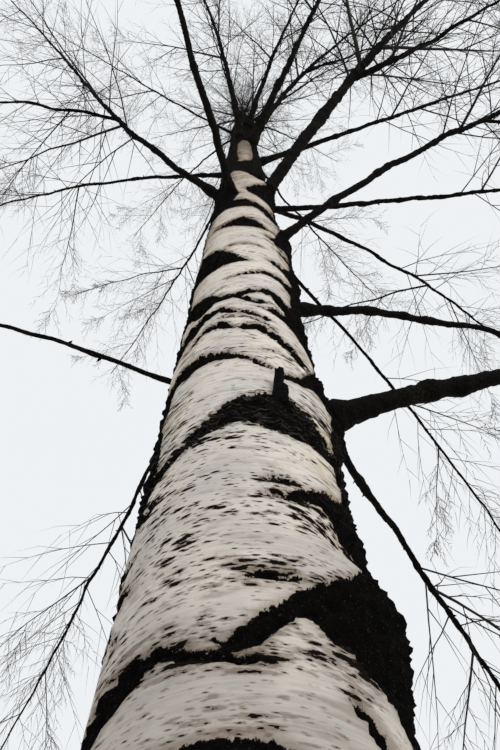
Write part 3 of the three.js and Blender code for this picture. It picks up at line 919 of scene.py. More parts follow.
@dataclass(frozen=True)
class PaperBark(Finish):
    """White birch bark with black bands, breathing pores in dashes, and rough black bark at the foot, with
    painted shade towards the foot and on the upper trunk.
    """

    pale: Colour = (0.74, 0.675, 0.6)
    cool: Colour = (0.62, 0.58, 0.54)
    # Painted shade: the darker paper colour that covers the trunk towards the foot
    foot_shade: Colour = (0.37, 0.335, 0.29)
    cream: Colour = (0.34, 0.245, 0.155)
    # Near-black brown up the trunk: partly young bark, partly painted shade under the crown
    young_bark_and_shade: Colour = (0.022, 0.015, 0.011)
    stain: Colour = (0.2, 0.14, 0.095)
    bark: Colour = (0.05, 0.034, 0.022)
    peel: Colour = (0.5, 0.4, 0.24)
    rim: Colour = (0.13, 0.09, 0.06)
    pore: Colour = (0.007, 0.005, 0.004)
    olive: Colour = (0.03, 0.021, 0.013)
    black: Colour = (0.0036, 0.0031, 0.0028)
    ash: Colour = (0.085, 0.076, 0.066)
    patches: Patches = Patches((7, 7, 9), 3.0, 0.5, 0.38, 0.64)
    curls: Patches = Patches((22, 22, 34), 3.0, 0.6, 0.46, 0.62, 0.75)
    smears: Patches = Patches((24, 24, 75), 4.0, 0.6, 0.54, 0.7, 0.5)
    blots: Patches = Patches((20, 20, 85), 2.0, 0.5, 0.56, 0.68, 0.62)
    hairs: Patches = Patches((9, 9, 420), 4.0, 0.65, 0.6, 0.68, 0.35)
    fibres: Patches = Patches((40, 40, 330), 4.0, 0.7, 0.52, 0.68)
    moss: Patches = Patches((16, 16, 11), 4.0, 0.6, 0.56, 0.72)
    streaks: Grain = ((17, 17, 230), 5.0, 0.66)
    rags: Grain = ((70, 70, 90), 5.0, 0.68)
    teeth: Grain = ((230, 230, 110), 3.0, 0.8)
    drift: Grain = ((7, 7, 20), 2.0, 0.5)
    frays: Grain = ((120, 120, 380), 3.0, 0.65)
    fringe: Grain = ((14, 14, 190), 3.0, 0.6)
    edge_rise: Fade = (2.5, 3.8, 0.5, 0.88)
    edge_reach: Fade = (2.5, 4.0, -0.022, -0.06)
    ragged_rise: Fade = (1.72, 2.05, 0.45, 1.0)
    halo_fade: Fade = (1.78, 2.0, -0.3, -0.14)
    dash_fade: Fade = (1.76, 1.96, 0.62, 0.0)
    fibre_rise: Fade = (1.98, 2.12, 0.0, 1.0)
    plate_fade: Fade = (2.2, 2.4, 0.75, 0.1)
    moss_rise: Fade = (3.3, 4.4, 0.0, 1.0)
    moss_fade: Fade = (5.0, 7.0, 0.8, 0.12)
    blot_fade: Fade = (1.72, 1.9, 1.0, 0.35)
    # Heights over which the painted shade at the foot fades out upwards
    foot_shade_fade: Fade = (1.5, 2.3, 1.0, 0.0)
    cream_rise: Fade = (2.7, 4.8, 0.0, 0.68)
    # Heights over which the young bark and painted shade of the upper trunk set in
    young_bark_and_shade_rise: Fade = (4.1, 7.0, 0.0, 0.97)

    def feeds(self, nodes: NodeTree) -> dict[str, object]:
        """Paints paper, then stains and pores, then the black.

        Args:
            nodes: the material's nodes.

        Returns:
            The colour, roughness and normal.
        """
        black, near = self._black(nodes)
        pores = self._pores(nodes, near)
        streaks = nodes.cloud(*self.streaks)
        plates = nodes.crackle(150.0)
        layers = (
            (near * near * nodes.height.ramp(*self.edge_rise), self.stain),
            (pores.ramp(0.0, 0.3, 0.0, 0.6), self.rim),
            (pores.ramp(0.3, 1.0), self.pore),
            (black, self._charred(nodes, plates)),
        )
        height = plates * black + (streaks * 0.16 + pores * 0.1) + black * 0.35
        return {
            "Base_Color": nodes.layered(self._paper(nodes, streaks), layers),
            "Roughness": (black | pores).ramp(0.0, 1.0, self.roughness, 0.95),
            "Normal": nodes.bump(height, 0.8, 0.0035),
        }

    def _charred(self, nodes: NodeTree, plates: Value) -> Value:
        """Paints the black bark, with grey plates and fibres, and with olive patches high up.

        Args:
            nodes: the material's nodes.
            plates: the height of the crackle.

        Returns:
            Its colour.
        """
        height = nodes.height
        fibres = self.fibres.on(nodes) * height.ramp(*self.fibre_rise)
        worn = (plates.ramp(0.55, 0.75) | fibres) * height.ramp(*self.plate_fade)
        moss = self.moss.on(nodes) * height.ramp(*self.moss_rise) * height.ramp(*self.moss_fade)
        return nodes.layered(self.black, ((worn, self.ash), (moss, self.olive)))

    def _black(self, nodes: NodeTree) -> tuple[Value, Value]:
        """Frays the edges of the black.

        Args:
            nodes: the material's nodes.

        Returns:
            Where the bark is black, and where it lies close to black.
        """
        ragged = nodes.cloud(*self.rags) - 0.52
        teeth = nodes.cloud(*self.teeth) - 0.52
        uneven = (ragged * 0.02 + teeth * 0.022) * nodes.height.ramp(*self.ragged_rise)
        ink = nodes.attribute("ink") + uneven
        foot = nodes.attribute("foot") + ragged * 0.5
        near = ink.ramp(nodes.height.ramp(*self.edge_reach), 0.0)
        return ink.ramp(-0.0004, 0.0008) | foot.ramp(-0.03, 0.05), near

    def _pores(self, nodes: NodeTree, near: Value) -> Value:
        """Draws the dark dashes of the breathing pores, which crowd in some rings and close to the black.

        Args:
            nodes: the material's nodes.
            near: where the bark lies close to black.

        Returns:
            How dark the dashes are.
        """
        drift = nodes.cloud(*self.drift) - 0.5
        crowd = (nodes.attribute("pores") + drift * 1.7 + near * 0.15).ramp(0.1, 1.05)
        frayed = nodes.cloud(*self.frays) - 0.5
        halo = nodes.height.ramp(*self.halo_fade)
        longest = nodes.height.ramp(*self.dash_fade)
        dashes = []
        for scale, most in (((18, 18, 110), longest), ((38, 38, 112), 0.52), ((76, 76, 220), 0.4)):
            cells = nodes.add("ShaderNodeTexVoronoi", out="Distance", Vector=nodes.scaled(scale), Scale=1.0)
            depth = crowd * most - (cells + frayed * 0.75)
            dashes.append(depth.ramp(0.0, 0.06) | depth.ramp(halo, 0.0, 0.0, 0.3))
        return dashes[0] | dashes[1] | dashes[2]

    def _paper(self, nodes: NodeTree, streaks: Value) -> Value:
        """Paints the paper itself, warm and cool in patches and creamy high up, darker towards the foot with
        painted shade, and near-black brown higher still, which is partly young bark and partly painted shade
        under the crown.

        Args:
            nodes: the material's nodes.
            streaks: the fine level streaks.

        Returns:
            Its colour.
        """
        height = nodes.height
        worn = nodes.attribute("worn")
        patches = self.patches.on(nodes)
        fringe = nodes.cloud(*self.fringe) - worn.ramp(0.0, 1.0, 0.72, 0.54)
        layers = (
            (worn * self.curls.on(nodes), self.peel),
            (self.smears.on(nodes), self.stain),
            (self.blots.on(nodes) * height.ramp(*self.blot_fade), self.stain),
            (self.hairs.on(nodes), self.stain),
            (fringe.ramp(0.0, 0.05, 0.0, 0.92), self.bark),
            # Painted shade: the paper is darker towards the foot, in patches
            (height.ramp(*self.foot_shade_fade) * patches.ramp(0.0, 1.0, 0.45, 0.8), self.foot_shade),
            (height.ramp(*self.cream_rise) * patches.ramp(0.0, 1.0, 0.6, 1.0), self.cream),
            # Partly young bark and partly painted shade under the crown, darker up the trunk
            (height.ramp(*self.young_bark_and_shade_rise), self.young_bark_and_shade),
        )
        paper = nodes.layered(nodes.mix(patches, self.pale, self.cool), layers)
        shade = streaks.ramp(0.3, 0.7, 0.86, 1.04)
        grey = nodes.add("ShaderNodeCombineColor", Red=shade, Green=shade, Blue=shade)
        return nodes.mix(1.0, paper, grey, "MULTIPLY")


@dataclass(frozen=True)
class LimbBark(Finish):
    """The dark bark of boughs, or of dead wood."""

    deep: Colour = (0.0016, 0.0013, 0.0011)
    raised: Colour = (0.0085, 0.0064, 0.0046)
    lichen: Colour = (0.02, 0.019, 0.012)
    lichen_share: float = 0.4
    grain: Triple = (60, 60, 60)

    def feeds(self, nodes: NodeTree) -> dict[str, object]:
        """Paints the cracks dark, the plates brown, and lichen over some of them.

        Args:
            nodes: the material's nodes.

        Returns:
            The colour, roughness and normal.
        """
        plates = nodes.crackle(120.0)
        grain = nodes.cloud(self.grain, 4.0, 0.65)
        patches = Patches((11, 11, 11), 4.0, 0.6, 0.5, 0.68, self.lichen_share)
        bark = nodes.mix(grain.ramp(0.35, 0.7), self.deep, self.raised)
        bark = nodes.mix(patches.on(nodes), bark, self.lichen)
        return {
            "Base_Color": nodes.mix(plates.other("Crack"), self.deep, bark),
            "Roughness": grain.ramp(0.3, 0.7, self.roughness, 0.97),
            "Normal": nodes.bump(plates + grain * 0.6, 0.7, 0.003),
        }


@dataclass(frozen=True)
class TwigBark(Finish):
    """Thin smooth bark in one plain colour with a fine grain."""

    colour: Colour

    def feeds(self, nodes: NodeTree) -> dict[str, object]:
        """Returns the one colour, and a slight grain in the roughness."""
        grain = nodes.cloud((90, 90, 90))
        return {"Base_Color": self.colour,
                "Roughness": grain.ramp(0.3, 0.7, self.roughness - 0.1, self.roughness + 0.1)}


@dataclass(frozen=True)
class FloorPaint(Finish):
    """The studio's pale floor."""

    colour: Colour = (0.72, 0.72, 0.71)

    def feeds(self, nodes: NodeTree) -> dict[str, object]:
        """Returns the one colour."""
        return {"Base_Color": self.colour}


PAPER_BARK = PaperBark("paper_bark", 0.62, 0.015)
LIMB_BARK = LimbBark("limb_bark", 0.85, 0.04)
SNAG_WOOD = LimbBark("snag_wood", 0.9, 0.05, (0.0015, 0.0013, 0.0013), (0.0055, 0.0048, 0.0045),
                     (0.009, 0.008, 0.007), 0.3, (160, 160, 30))
FLOOR_PAINT = FloorPaint("floor_paint", 0.9, 0.2)
TWIG_BROWNS = (
    (0.014, 0.011, 0.01), (0.024, 0.017, 0.014), (0.019, 0.016, 0.014),
    (0.03, 0.022, 0.018), (0.012, 0.0105, 0.01), (0.025, 0.021, 0.019),
)
TWIG_BARKS = tuple(TwigBark(f"twig_bark_{i}", 0.7, 0.15, brown) for i, brown in enumerate(TWIG_BROWNS, 1))


def dress_piece(piece: bpy.types.Object, finish: Finish, nodes: list[str]) -> bpy.types.Object:
    """Gives a piece its finish and its place in the frame.

    Args:
        piece: the finished object.
        finish: what it is finished with.
        nodes: the CAD nodes that it stands for.

    Returns:
        The piece.
    """
    piece.data.materials.clear()
    piece.data.materials.append(finish.material())
    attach(piece, BODY)
    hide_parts(*nodes)
    return piece


# The trunk


@dataclass(frozen=True)
class Wear:
    """How far the paper is worn, which is most on the flanks and above the burl.

    Attributes:
        front: the azimuth to either side where the wear sets in, and rise the degrees that it takes.
        back: the azimuth to either side where it is down to the share behind, after fall degrees.
        left: the height where it sets in on the left, and right the same on the right.
        climb: the height over which it sets in, from the share below.
    """

    front: float = 24
    rise: float = 26
    back: float = 150
    fall: float = 50
    behind: float = 0.3
    left: float = 2.04
    right: float = 1.86
    climb: float = 0.2
    below: float = 0.12

    def share(self, height: np.ndarray, azimuth: np.ndarray) -> np.ndarray:
        """Measures the wear.

        Args:
            height: the height of each corner.
            azimuth: its azimuth.

        Returns:
            A share for each corner.
        """
        side = np.abs(azimuth)
        start = np.where(azimuth < 0, self.left, self.right)
        around = np.clip((side - self.front) / self.rise, 0, 1)
        around = around * np.clip((self.back - side) / self.fall, self.behind, 1)
        return around * np.clip((height - start) / self.climb, self.below, 1)


@dataclass(frozen=True)
class FootBark:
    """The foot's black bark, in lozenges that close up downwards.

    Attributes:
        top: how high it reaches.
        full: its measure at the ground, and fall how much of that is gone at the top.
        furrows: how many furrows run round the foot each way, with a lean of their own.
        ridges: how many ridges run round it.
        depth: how much the lozenges add.
    """

    top: float = 1.15
    full: float = 0.62
    fall: float = 1.15
    furrows: int = 9
    leans: tuple[float, float] = (2.2, 6.5)
    shift: float = 1.7
    ridges: int = 14
    ridge_lean: float = 5
    ridge_share: float = 0.5
    depth: float = 0.24

    def inside(self, height: np.ndarray, azimuth: np.ndarray) -> np.ndarray:
        """Measures how far inside the black bark corners lie.

        Args:
            height: the height of each corner.
            azimuth: its azimuth.

        Returns:
            A number for each corner, below zero outside the black.
        """
        turn = np.radians(azimuth)
        one, other = self.leans
        lozenge = np.cos(self.furrows * turn + one * height)
        lozenge = lozenge * np.cos(self.furrows * turn - other * height + self.shift)
        lozenge = lozenge + self.ridge_share * np.cos(self.ridges * turn + self.ridge_lean * height)
        return self.full - self.fall * height / self.top + self.depth * lozenge


@dataclass
class Trunk:
    """The trunk from the flat cut at the ground to the leader, with its bark in relief.

    Attributes:
        columns: the faces round it.
        zones: height where a zone ends, and how many rows of faces it has.
        flutter: how far the paper bark waves in and out.
        crust: how far the black bark stands out.
        foot_crust: how much further it stands out at the foot.
        crust_edge: over how far the black bark rises from a band's edge.
        foot_edge: the same at the foot's edge, in the foot's own measure.
        thin_below: the radius below which the crust thins, down to the share thinnest.
        flutter_pitch: how close the paper's waves are, along each axis.
        lump_pitches: how close the crust's coarse and fine lumps are.
        fine_lumps: the share of the fine lumps.
        lumps_sunk: how far the lumps lie below the crust's own height.
        foot_pitch: how close the foot's plates are, along each axis.
        worn_pores: how much more the pores crowd where the paper is worn.
        lumps: the swellings that it has beside those of its form.
        bands: where its bark is black, with painted shade on the front of the upper trunk.
    """

    columns: int = 160
    zones: tuple[tuple[float, int], ...] = ((1.6, 80), (2.7, 220), (3.6, 112), (4.6, 90), (13.2, 115))
    flutter: float = 0.0012
    crust: float = 0.0075
    foot_crust: float = 0.012
    crust_edge: float = 0.006
    foot_edge: float = 0.1
    thin_below: float = 0.13
    thinnest: float = 0.25
    flutter_pitch: Triple = (9, 9, 24)
    lump_pitches: tuple[float, float] = (62, 145)
    fine_lumps: float = 0.8
    lumps_sunk: float = 0.42
    foot_pitch: Triple = (26, 26, 8)
    worn_pores: float = 0.08
    wear: Wear = Wear()
    foot: FootBark = FootBark()
    lumps: list[Swelling] = field(
        default_factory=lambda: [*FLANK_LUMPS, *(limb.swelling() for limb in (*BOUGHS, *middle_boughs()))]
    )
    bands: list[Band | BlackCrustAndShade] = field(
        default_factory=lambda: [
            *map(Band, BAND_EDGES), *map(BlackCrustAndShade, CRUST_AND_SHADE_EDGES), *sum((rule.bands() for rule in SCAR_RULES), [])
        ]
    )

    def build(self) -> list[bpy.types.Object]:
        """Builds the trunk from a grid that is wrapped round its axis.

        Returns:
            The dressed piece.
        """
        deselect_all()
        rows = sum(count for _, count in self.zones)
        bpy.ops.mesh.primitive_grid_add(x_subdivisions=self.columns, y_subdivisions=rows, size=2)
        piece = bpy.context.active_object
        piece.name = piece.data.name = "trunk_bark"
        self._wrap(piece.data, rows)
        self._close()
        piece.data.uv_layers[0].name = "OFBake"
        return [dress_piece(piece, PAPER_BARK, ["trunk"])]

    def _row_heights(self) -> np.ndarray:
        """Spaces the rows of corners.

        Returns:
            The height of each row.
        """
        heights, start = [0.0], 0.0
        for end, count in self.zones:
            heights.extend(start + (end - start) * (i + 1) / count for i in range(count))
            start = end
        return np.array(heights)

    def _wrap(self, mesh: bpy.types.Mesh, rows: int) -> None:
        """Moves the grid's corners to the bark's surface, and writes what the bark's finish reads.

        Args:
            mesh: the grid, which reaches from -1 to 1 both ways.
            rows: how many rows of faces it has.
        """
        flat = np.zeros(len(mesh.vertices) * 3, np.float32)
        mesh.vertices.foreach_get("co", flat)
        flat = flat.reshape(-1, 3)
        row = np.rint((flat[:, 1] + 1) / 2 * rows).astype(int)
        column = np.rint((flat[:, 0] + 1) / 2 * self.columns).astype(int)
        levels = self._row_heights()
        height = levels[row]
        azimuth = (column % self.columns) * 360 / self.columns - 180
        ink = np.max([band.inside(height, azimuth) for band in self.bands], axis=0)
        foot = self.foot.inside(height, azimuth)
        worn = self.wear.share(height, azimuth)
        pores = np.interp(height, *np.array(PORE_CROWDS).T) + self.worn_pores * worn
        radius = FORM.radius(height, azimuth) + sum(lump.stands(height, azimuth) for lump in self.lumps)
        radius = radius + self._relief(height, azimuth, radius, ink, foot)
        placed = np.array([FORM.axis(level) for level in levels])[row]
        turn = np.radians(azimuth)
        placed[:, 0] += radius * np.sin(turn)
        placed[:, 1] -= radius * np.cos(turn)
        mesh.vertices.foreach_set("co", placed.astype(np.float32).ravel())
        for name, values in (("ink", ink), ("foot", foot), ("pores", pores), ("worn", worn)):
            carried = mesh.attributes.new(name, "FLOAT", "POINT")
            carried.data.foreach_set("value", values.astype(np.float32))

    def _relief(self, height: np.ndarray, azimuth: np.ndarray, radius: np.ndarray, ink: np.ndarray,
                foot: np.ndarray) -> np.ndarray:
        """Measures how far corners stand out from the plain form.

        Args:
            height: the height of each corner.
            azimuth: its azimuth.
            radius: the plain radius there.
            ink: how far it lies inside a band.
            foot: how far it lies inside the foot's black bark.

        Returns:
            A distance for each corner.
        """
        turn = np.radians(azimuth)
        black = np.clip(ink / self.crust_edge + 0.5, 0, 1)
        char = np.clip(foot / self.foot_edge, 0, 1)
        thin = np.clip(radius / self.thin_below, self.thinnest, 1)
        flutters, plates = Vector(self.flutter_pitch), Vector(self.foot_pitch)
        coarse, fine = self.lump_pitches
        across, over = radius * np.sin(turn), radius * np.cos(turn)
        out = np.zeros(len(height))
        for i in range(len(height)):
            at = Vector((across[i], over[i], height[i]))
            out[i] = self.flutter * noise.noise(at * flutters)
            share = max(black[i], char[i])
            if share > 0:
                lumps = noise.noise(at * coarse) + self.fine_lumps * noise.noise(at * fine) - self.lumps_sunk
                out[i] += self.crust * share * lumps * thin[i]
            if char[i] > 0:
                out[i] += self.foot_crust * char[i] * noise.noise(at * plates)
        return out

    @staticmethod
    def _close() -> None:
        """Joins the seam and closes both ends."""
        bpy.ops.object.mode_set(mode="EDIT")
        bpy.ops.mesh.select_all(action="SELECT")
        bpy.ops.mesh.remove_doubles(threshold=1e-5)
        bpy.ops.mesh.select_all(action="DESELECT")
        bpy.ops.mesh.select_mode(type="EDGE")
        bpy.ops.mesh.select_non_manifold()
        bpy.ops.mesh.edge_face_add()
        bpy.ops.mesh.select_all(action="SELECT")
        bpy.ops.mesh.normals_make_consistent(inside=False)
        bpy.ops.object.mode_set(mode="OBJECT")
        bpy.ops.object.shade_smooth_by_angle(angle=math.radians(60))


# Limbs and twigs


@dataclass(frozen=True)
class Fork:
    """A strong side limb of a spray: the share of the length where it leaves, its azimuth and slope."""

    at: float
    azimuth: float
    rise: float


@dataclass(frozen=True)
class TwigRule:
    """How many twigs stand on a limb, the share of it that is bare, and how each twig grows."""

    count: int
    first: float
    angle: float
    share: float
    steps: int
    hang: float
    thickness: float


# How a limb runs
STEPS = 8
LIMB_PARTS = 16
LIMB_ROOT = 0.6
TIP_SHARE = 0.2
DROOP = 42
TAPER_POWER = 0.8
SWELL_WIDTH = 1.1
SWELL_OUT = 0.5
SWELL_TALL = 1.6
EXIT_PARTS = 20
COLLAR_SHARE = 0.5
COLLAR_REACH = 0.045
COLLAR_EASE = 0.018
ROOT_SHARE = 0.35
ROOT_POWER = 1.3
SLIM_REACH = 0.7
STOUT = 0.013
FORK_SHARE = 0.62
FORK_THICKNESS = 0.74
FORK_TAPER = 0.85
SHORTER_FORK = 0.35
FORK_HANG = 0.5
FORK_STEPS = 3
FORK_PARTS = 10
FORK_LEAST = 0.0026
LEADER_STEPS = 4
LEADER_PARTS = 8
LEADER_TIP = 0.0026
LEADER_TWIGS = 7

# How a twig runs: degrees by which its turn and its angle vary, and shares of its length
TWIG_PARTS = 4
TWIG_LAG = 0.3
TWIG_STRAY = 0.4
TURN_SPREAD = 50
ANGLE_SPREAD = 14
SHORTER_AT_TIP = 0.5
LEAST_LENGTH = 0.8
LENGTH_SPREAD = 0.4
WANDER = 0.22
BOW = 0.09
FINEST = 0.0011

# The room that it keeps
LOWEST_TWIG = 1.5
CLEARANCE = 0.003
TRUNK_ROOM = 0.024
FINE_ROOM = 0.01
CROWN_MARGIN = 0.05

# The two orders of twigs that are solids in the source, and the finer ones that follow by the same rule
SIDE_TWIGS = TwigRule(6, 0.06, 44, 0.46, 2, 0.5, 0.66)
END_TWIGS = TwigRule(2, 0.3, 38, 0.55, 1, 0.75, 0.8)
FORK_TWIGS = 3
FINE_ON_STEM = TwigRule(24, 0.02, 46, 0.38, 5, 0.55, 0.4)
FINE_ON_SIDE = TwigRule(14, 0.06, 44, 0.4, 4, 0.65, 0.5)
FINE_ON_END = TwigRule(10, 0.06, 40, 0.55, 3, 0.7, 0.6)
LAST_TWIGS = TwigRule(7, 0.08, 38, 0.5, 2, 0.8, 0.75)

# Seeds: a limb's own, its forks', and the shift that sets the fine twigs apart from the coarse ones
FIRST_SEED = 1000
NEXT_SEED = 37
FORK_SEED = 100
FORK_TWIG_SEED = 200
LEADER_SEED = 77
STREAM_SHIFT = 300

# What the waver of the limbs follows, which would follow the clock without it
WAVER_SEED = 3
# Its two orders on a limb: how close the waves are, their share of the seed, their layer, and their width
LIMB_WAVERS = ((3.1, 0.37, 0, 0.014), (9.5, 0.71, 5, 0.007))
WAVER_FROM = 0.4
TWIG_WAVER = 0.018
# The waves of a twig and of a limb's girth: how close they are, their share of the seed, and their layer
TWIG_WAVES = (5, 0.61, 3)
GIRTH_WAVES = (14, 0.13, 7)
SEED_WRAP = 997

# Dead spurs and knots on the limbs, and the pieces that the limbs are joined in
SPURS = 26
SPUR_LENGTH = 0.013
SPUR_THIN = 0.0022
SPUR_SPREAD = 0.0025
SPUR_MOST = 0.6
SPUR_KNEE = 0.55
SPUR_FLARE = 1.5
SPUR_SIDES = 5
KNOTS = 12
KNOT_REACH = 0.022
KNOT_SWELL = 0.3
UNEVEN_SWELL = 0.09
LIMB_SIDES = 12
LIMB_RELIEF = 0.17
COARSE_SIDES = 5
FINE_SIDES = 3
LOWER_LIMBS = 11


def across_from(along: Vector, turn: float) -> Vector:
    """Returns a heading square to another, turned round it by an angle in radians."""
    across = along.cross(UP if abs(along.z) < STEEP else SIDEWAYS).normalized()
    across.rotate(Matrix.Rotation(turn, 3, along))
    return across


def twig_line(
    start: Vector, along: Vector, length: float, steps: int, hang: float, draw: Draw
) -> list[Vector]:
    """Grows a twig that strays a little and hangs more at each step.

    Args:
        start: where it starts.
        along: its first heading.
        length: its length.
        steps: how many stretches it has.
        hang: how much it turns down.
        draw: its random numbers.

    Returns:
        Its points.
    """
    points, way = [start.copy()], along.copy()
    for i in range(steps):
        way.x += WANDER * (draw() - 0.5)
        way.y += WANDER * (draw() - 0.5)
        way.z += WANDER * (draw() - 0.5) - hang / steps
        way.normalize()
        points.append(points[i] + way * (length / steps))
    return points


@dataclass
class Stem:
    """A limb or twig as a line with a radius at each point.

    Attributes:
        points: the line.
        radii: the radius at each point.
        seed: what its own twigs follow from.
        reach: its length by the source's rule.
        knots: the shares of its length where something leaves it.
        marks: for a stem whose points aren't evenly spaced, each mark's share of the line.
    """

    points: list[Vector]
    radii: list[float]
    seed: int
    reach: float
    knots: list[float] = field(default_factory=list)
    marks: list[float] | None = None

    def at(self, share: float) -> tuple[Vector, Vector, float]:
        """Finds a share of the stem.

        Args:
            share: from 0 at its root to 1 at its tip.

        Returns:
            The point, heading and radius there.
        """
        if self.marks:
            share = number_at(self.marks, share)
        i, part = stretch_at(len(self.points), share)
        along = (self.points[i + 1] - self.points[i]).normalized()
        return self.points[i].lerp(self.points[i + 1], part), along, number_at(self.radii, share)

    def twigs(self, rule: TwigRule, count: int, shift: int = 0) -> list[Stem]:
        """Grows side twigs, spaced along the stem and turned round it by the golden angle.

        Args:
            rule: how they grow.
            count: how many there are.
            shift: added to the number that each seed comes from, to set a second lot apart from the first.

        Returns:
            The twigs.
        """
        twigs = []
        for k in range(count):
            seed = child_seed(self.seed, k + shift)
            draw = seeded(seed)
            share = rule.first + (1 - rule.first) * (k + TWIG_LAG + TWIG_STRAY * draw()) / count
            point, along, radius = self.at(share)
            across = across_from(along, math.radians(GOLDEN_ANGLE * k + TURN_SPREAD * (draw() - 0.5)))
            angle = math.radians(rule.angle + ANGLE_SPREAD * (draw() - 0.5))
            way = along * math.cos(angle) + across * math.sin(angle)
            length = self.reach * rule.share * (1 - SHORTER_AT_TIP * share)
            length *= LEAST_LENGTH + LENGTH_SPREAD * draw()
            points = twig_line(point, way, length, rule.steps, rule.hang, draw)
            thick = max(radius * rule.thickness, FINEST)
            radii = [thick * (1 - i / rule.steps) for i in range(rule.steps + 1)]
            twigs.append(Stem(points, radii, seed, length))
            self.knots.append(share)
        return twigs

    def rounded(self, parts: int) -> Stem:
        """Rounds the stem off.

        Args:
            parts: how many stretches stand for each straight one.

        Returns:
            A stem with a smooth line that wavers a little.
        """
        points = smooth_line(self.points, parts) if len(self.points) > 2 else self._bowed(parts)
        radii = []
        pitch, seed_share, layer = TWIG_WAVES
        lane = self.seed % SEED_WRAP * seed_share
        for i, point in enumerate(points):
            share = i / (len(points) - 1)
            radii.append(number_at(self.radii, share))
            waver = noise.noise_vector(Vector((share * self.reach * pitch, lane, layer)))
            point += waver * (TWIG_WAVER * min(share * 4, 1) * self.reach)
        return Stem(points, radii, self.seed, self.reach)

    def _bowed(self, parts: int) -> list[Vector]:
        """Gives a straight twig the arch of its own weight.

        Args:
            parts: how many stretches it gets.

        Returns:
            Its points.
        """
        start, end = self.points
        rise = UP * (BOW * self.reach)
        shares = [i / parts for i in range(parts + 1)]
        return [start.lerp(end, share) + rise * (4 * share * (1 - share)) for share in shares]

    def tube(self, parts: int) -> Tube:
        """Makes a limb's tube, thicker at its knots and with bark that stands in and out.

        Args:
            parts: how many stretches of the tube stand for each one of the stem.

        Returns:
            The tube.
        """
        points = smooth_line(self.points, parts)
        draw = seeded(self.seed + 5)
        knots = [*self.knots, *(draw() for _ in range(KNOTS))]
        radii = []
        pitch, seed_share, layer = GIRTH_WAVES
        for i in range(len(points)):
            share = i / (len(points) - 1)
            swell = max(math.exp(-(((share - knot) * self.reach / KNOT_REACH) ** 2)) for knot in knots)
            along = noise.noise(Vector((share * self.reach * pitch, self.seed * seed_share, layer)))
            radii.append(self.at(share)[2] * (1 + KNOT_SWELL * swell + UNEVEN_SWELL * along))
        return Tube(points, radii, LIMB_SIDES, LIMB_RELIEF)

    def spurs(self) -> list[Tube]:
        """Stands short dead spurs on a limb.

        Returns:
            Their tubes.
        """
        draw = seeded(self.seed + 9)
        spurs = []
        for index in range(SPURS):
            point, along, radius = self.at(0.06 + 0.92 * (index + draw()) / SPURS)
            across = across_from(along, 2 * math.pi * draw())
            way = (across + along * (0.3 + 0.6 * draw())).normalized()
            length = radius + SPUR_LENGTH * (0.3 + draw())
            thick = min(SPUR_THIN + SPUR_SPREAD * draw(), radius * SPUR_MOST)
            points = [point, point + way * (length * SPUR_KNEE), point + way * length]
            spurs.append(Tube(points, [thick * SPUR_FLARE, thick, 0.0], SPUR_SIDES))
        return spurs


class Room:
    """The room that is taken, so that a coarse twig that would touch another limb is left out."""

    def __init__(self) -> None:
        """Starts with nothing taken."""
        self.owners: list[str] = []
        self.stretches: list[tuple[float, ...]] = []

    def take(self, owner: str, points: list[Vector], radii: list[float]) -> None:
        """Notes a limb's stretches."""
        for i in range(1, len(points)):
            self.owners.append(owner)
            self.stretches.append((*points[i - 1], *points[i], max(radii[i - 1], radii[i])))

    def claim(self, owner: str, stem: Stem) -> bool:
        """Takes the room of a stem if that is free.

        Args:
            owner: whose stem it is.
            stem: the stem.

        Returns:
            Whether it was free.
        """
        free = self._is_free(owner, stem)
        if free:
            self.take(owner, stem.points, stem.radii)
        return free

    def _is_free(self, owner: str, stem: Stem) -> bool:
        """Looks whether a stem keeps clear of the limbs of other owners, the trunk and the ground.

        Args:
            owner: whose stem it is.
            stem: the stem.

        Returns:
            Whether it keeps clear.
        """
        others = np.array([name != owner for name in self.owners])
        taken = np.array(self.stretches)[others]
        for i in range(1, len(stem.points)):
            radius = max(stem.radii[i - 1], stem.radii[i])
            if not clear_of_trunk(stem.points[i], radius + TRUNK_ROOM):
                return False
            ends = np.array(stem.points[i - 1]), np.array(stem.points[i])
            if (distances(*ends, taken[:, :3], taken[:, 3:6]) < taken[:, 6] + radius + CLEARANCE).any():
                return False
        return True


def clear_of_trunk(point: Vector, room: float) -> bool:
    """Returns whether a point keeps that far from the trunk and stays off the ground."""
    if point.z < LOWEST_TWIG:
        return False
    return point.z >= FORM.top or FORM.off_axis(point) >= FORM.taper(point.z) + room


def distances(a: np.ndarray, b: np.ndarray, c: np.ndarray, d: np.ndarray) -> np.ndarray:
    """Measures the least distance from the stretch between a and b to each stretch between c and d.

    Args:
        a: one end of the stretch.
        b: its other end.
        c: the first end of each other stretch.
        d: their second ends.

    Returns:
        One distance for each other stretch.
    """
    u, v, w = b - a, d - c, a - c
    uu, uv, vv = (u * u).sum(), (v * u).sum(1), (v * v).sum(1)
    uw, vw = (w * u).sum(1), (w * v).sum(1)
    span = uu * vv - uv * uv
    s = np.where(span > 1e-12, np.clip((uv * vw - vv * uw) / np.maximum(span, 1e-12), 0, 1), 0)
    t = (uv * s + vw) / vv
    held = np.clip(t, 0, 1)
    s = np.where(t == held, s, np.clip((uv * held - uw) / uu, 0, 1))
    return np.linalg.norm(w + s[:, None] * u - held[:, None] * v, axis=1)


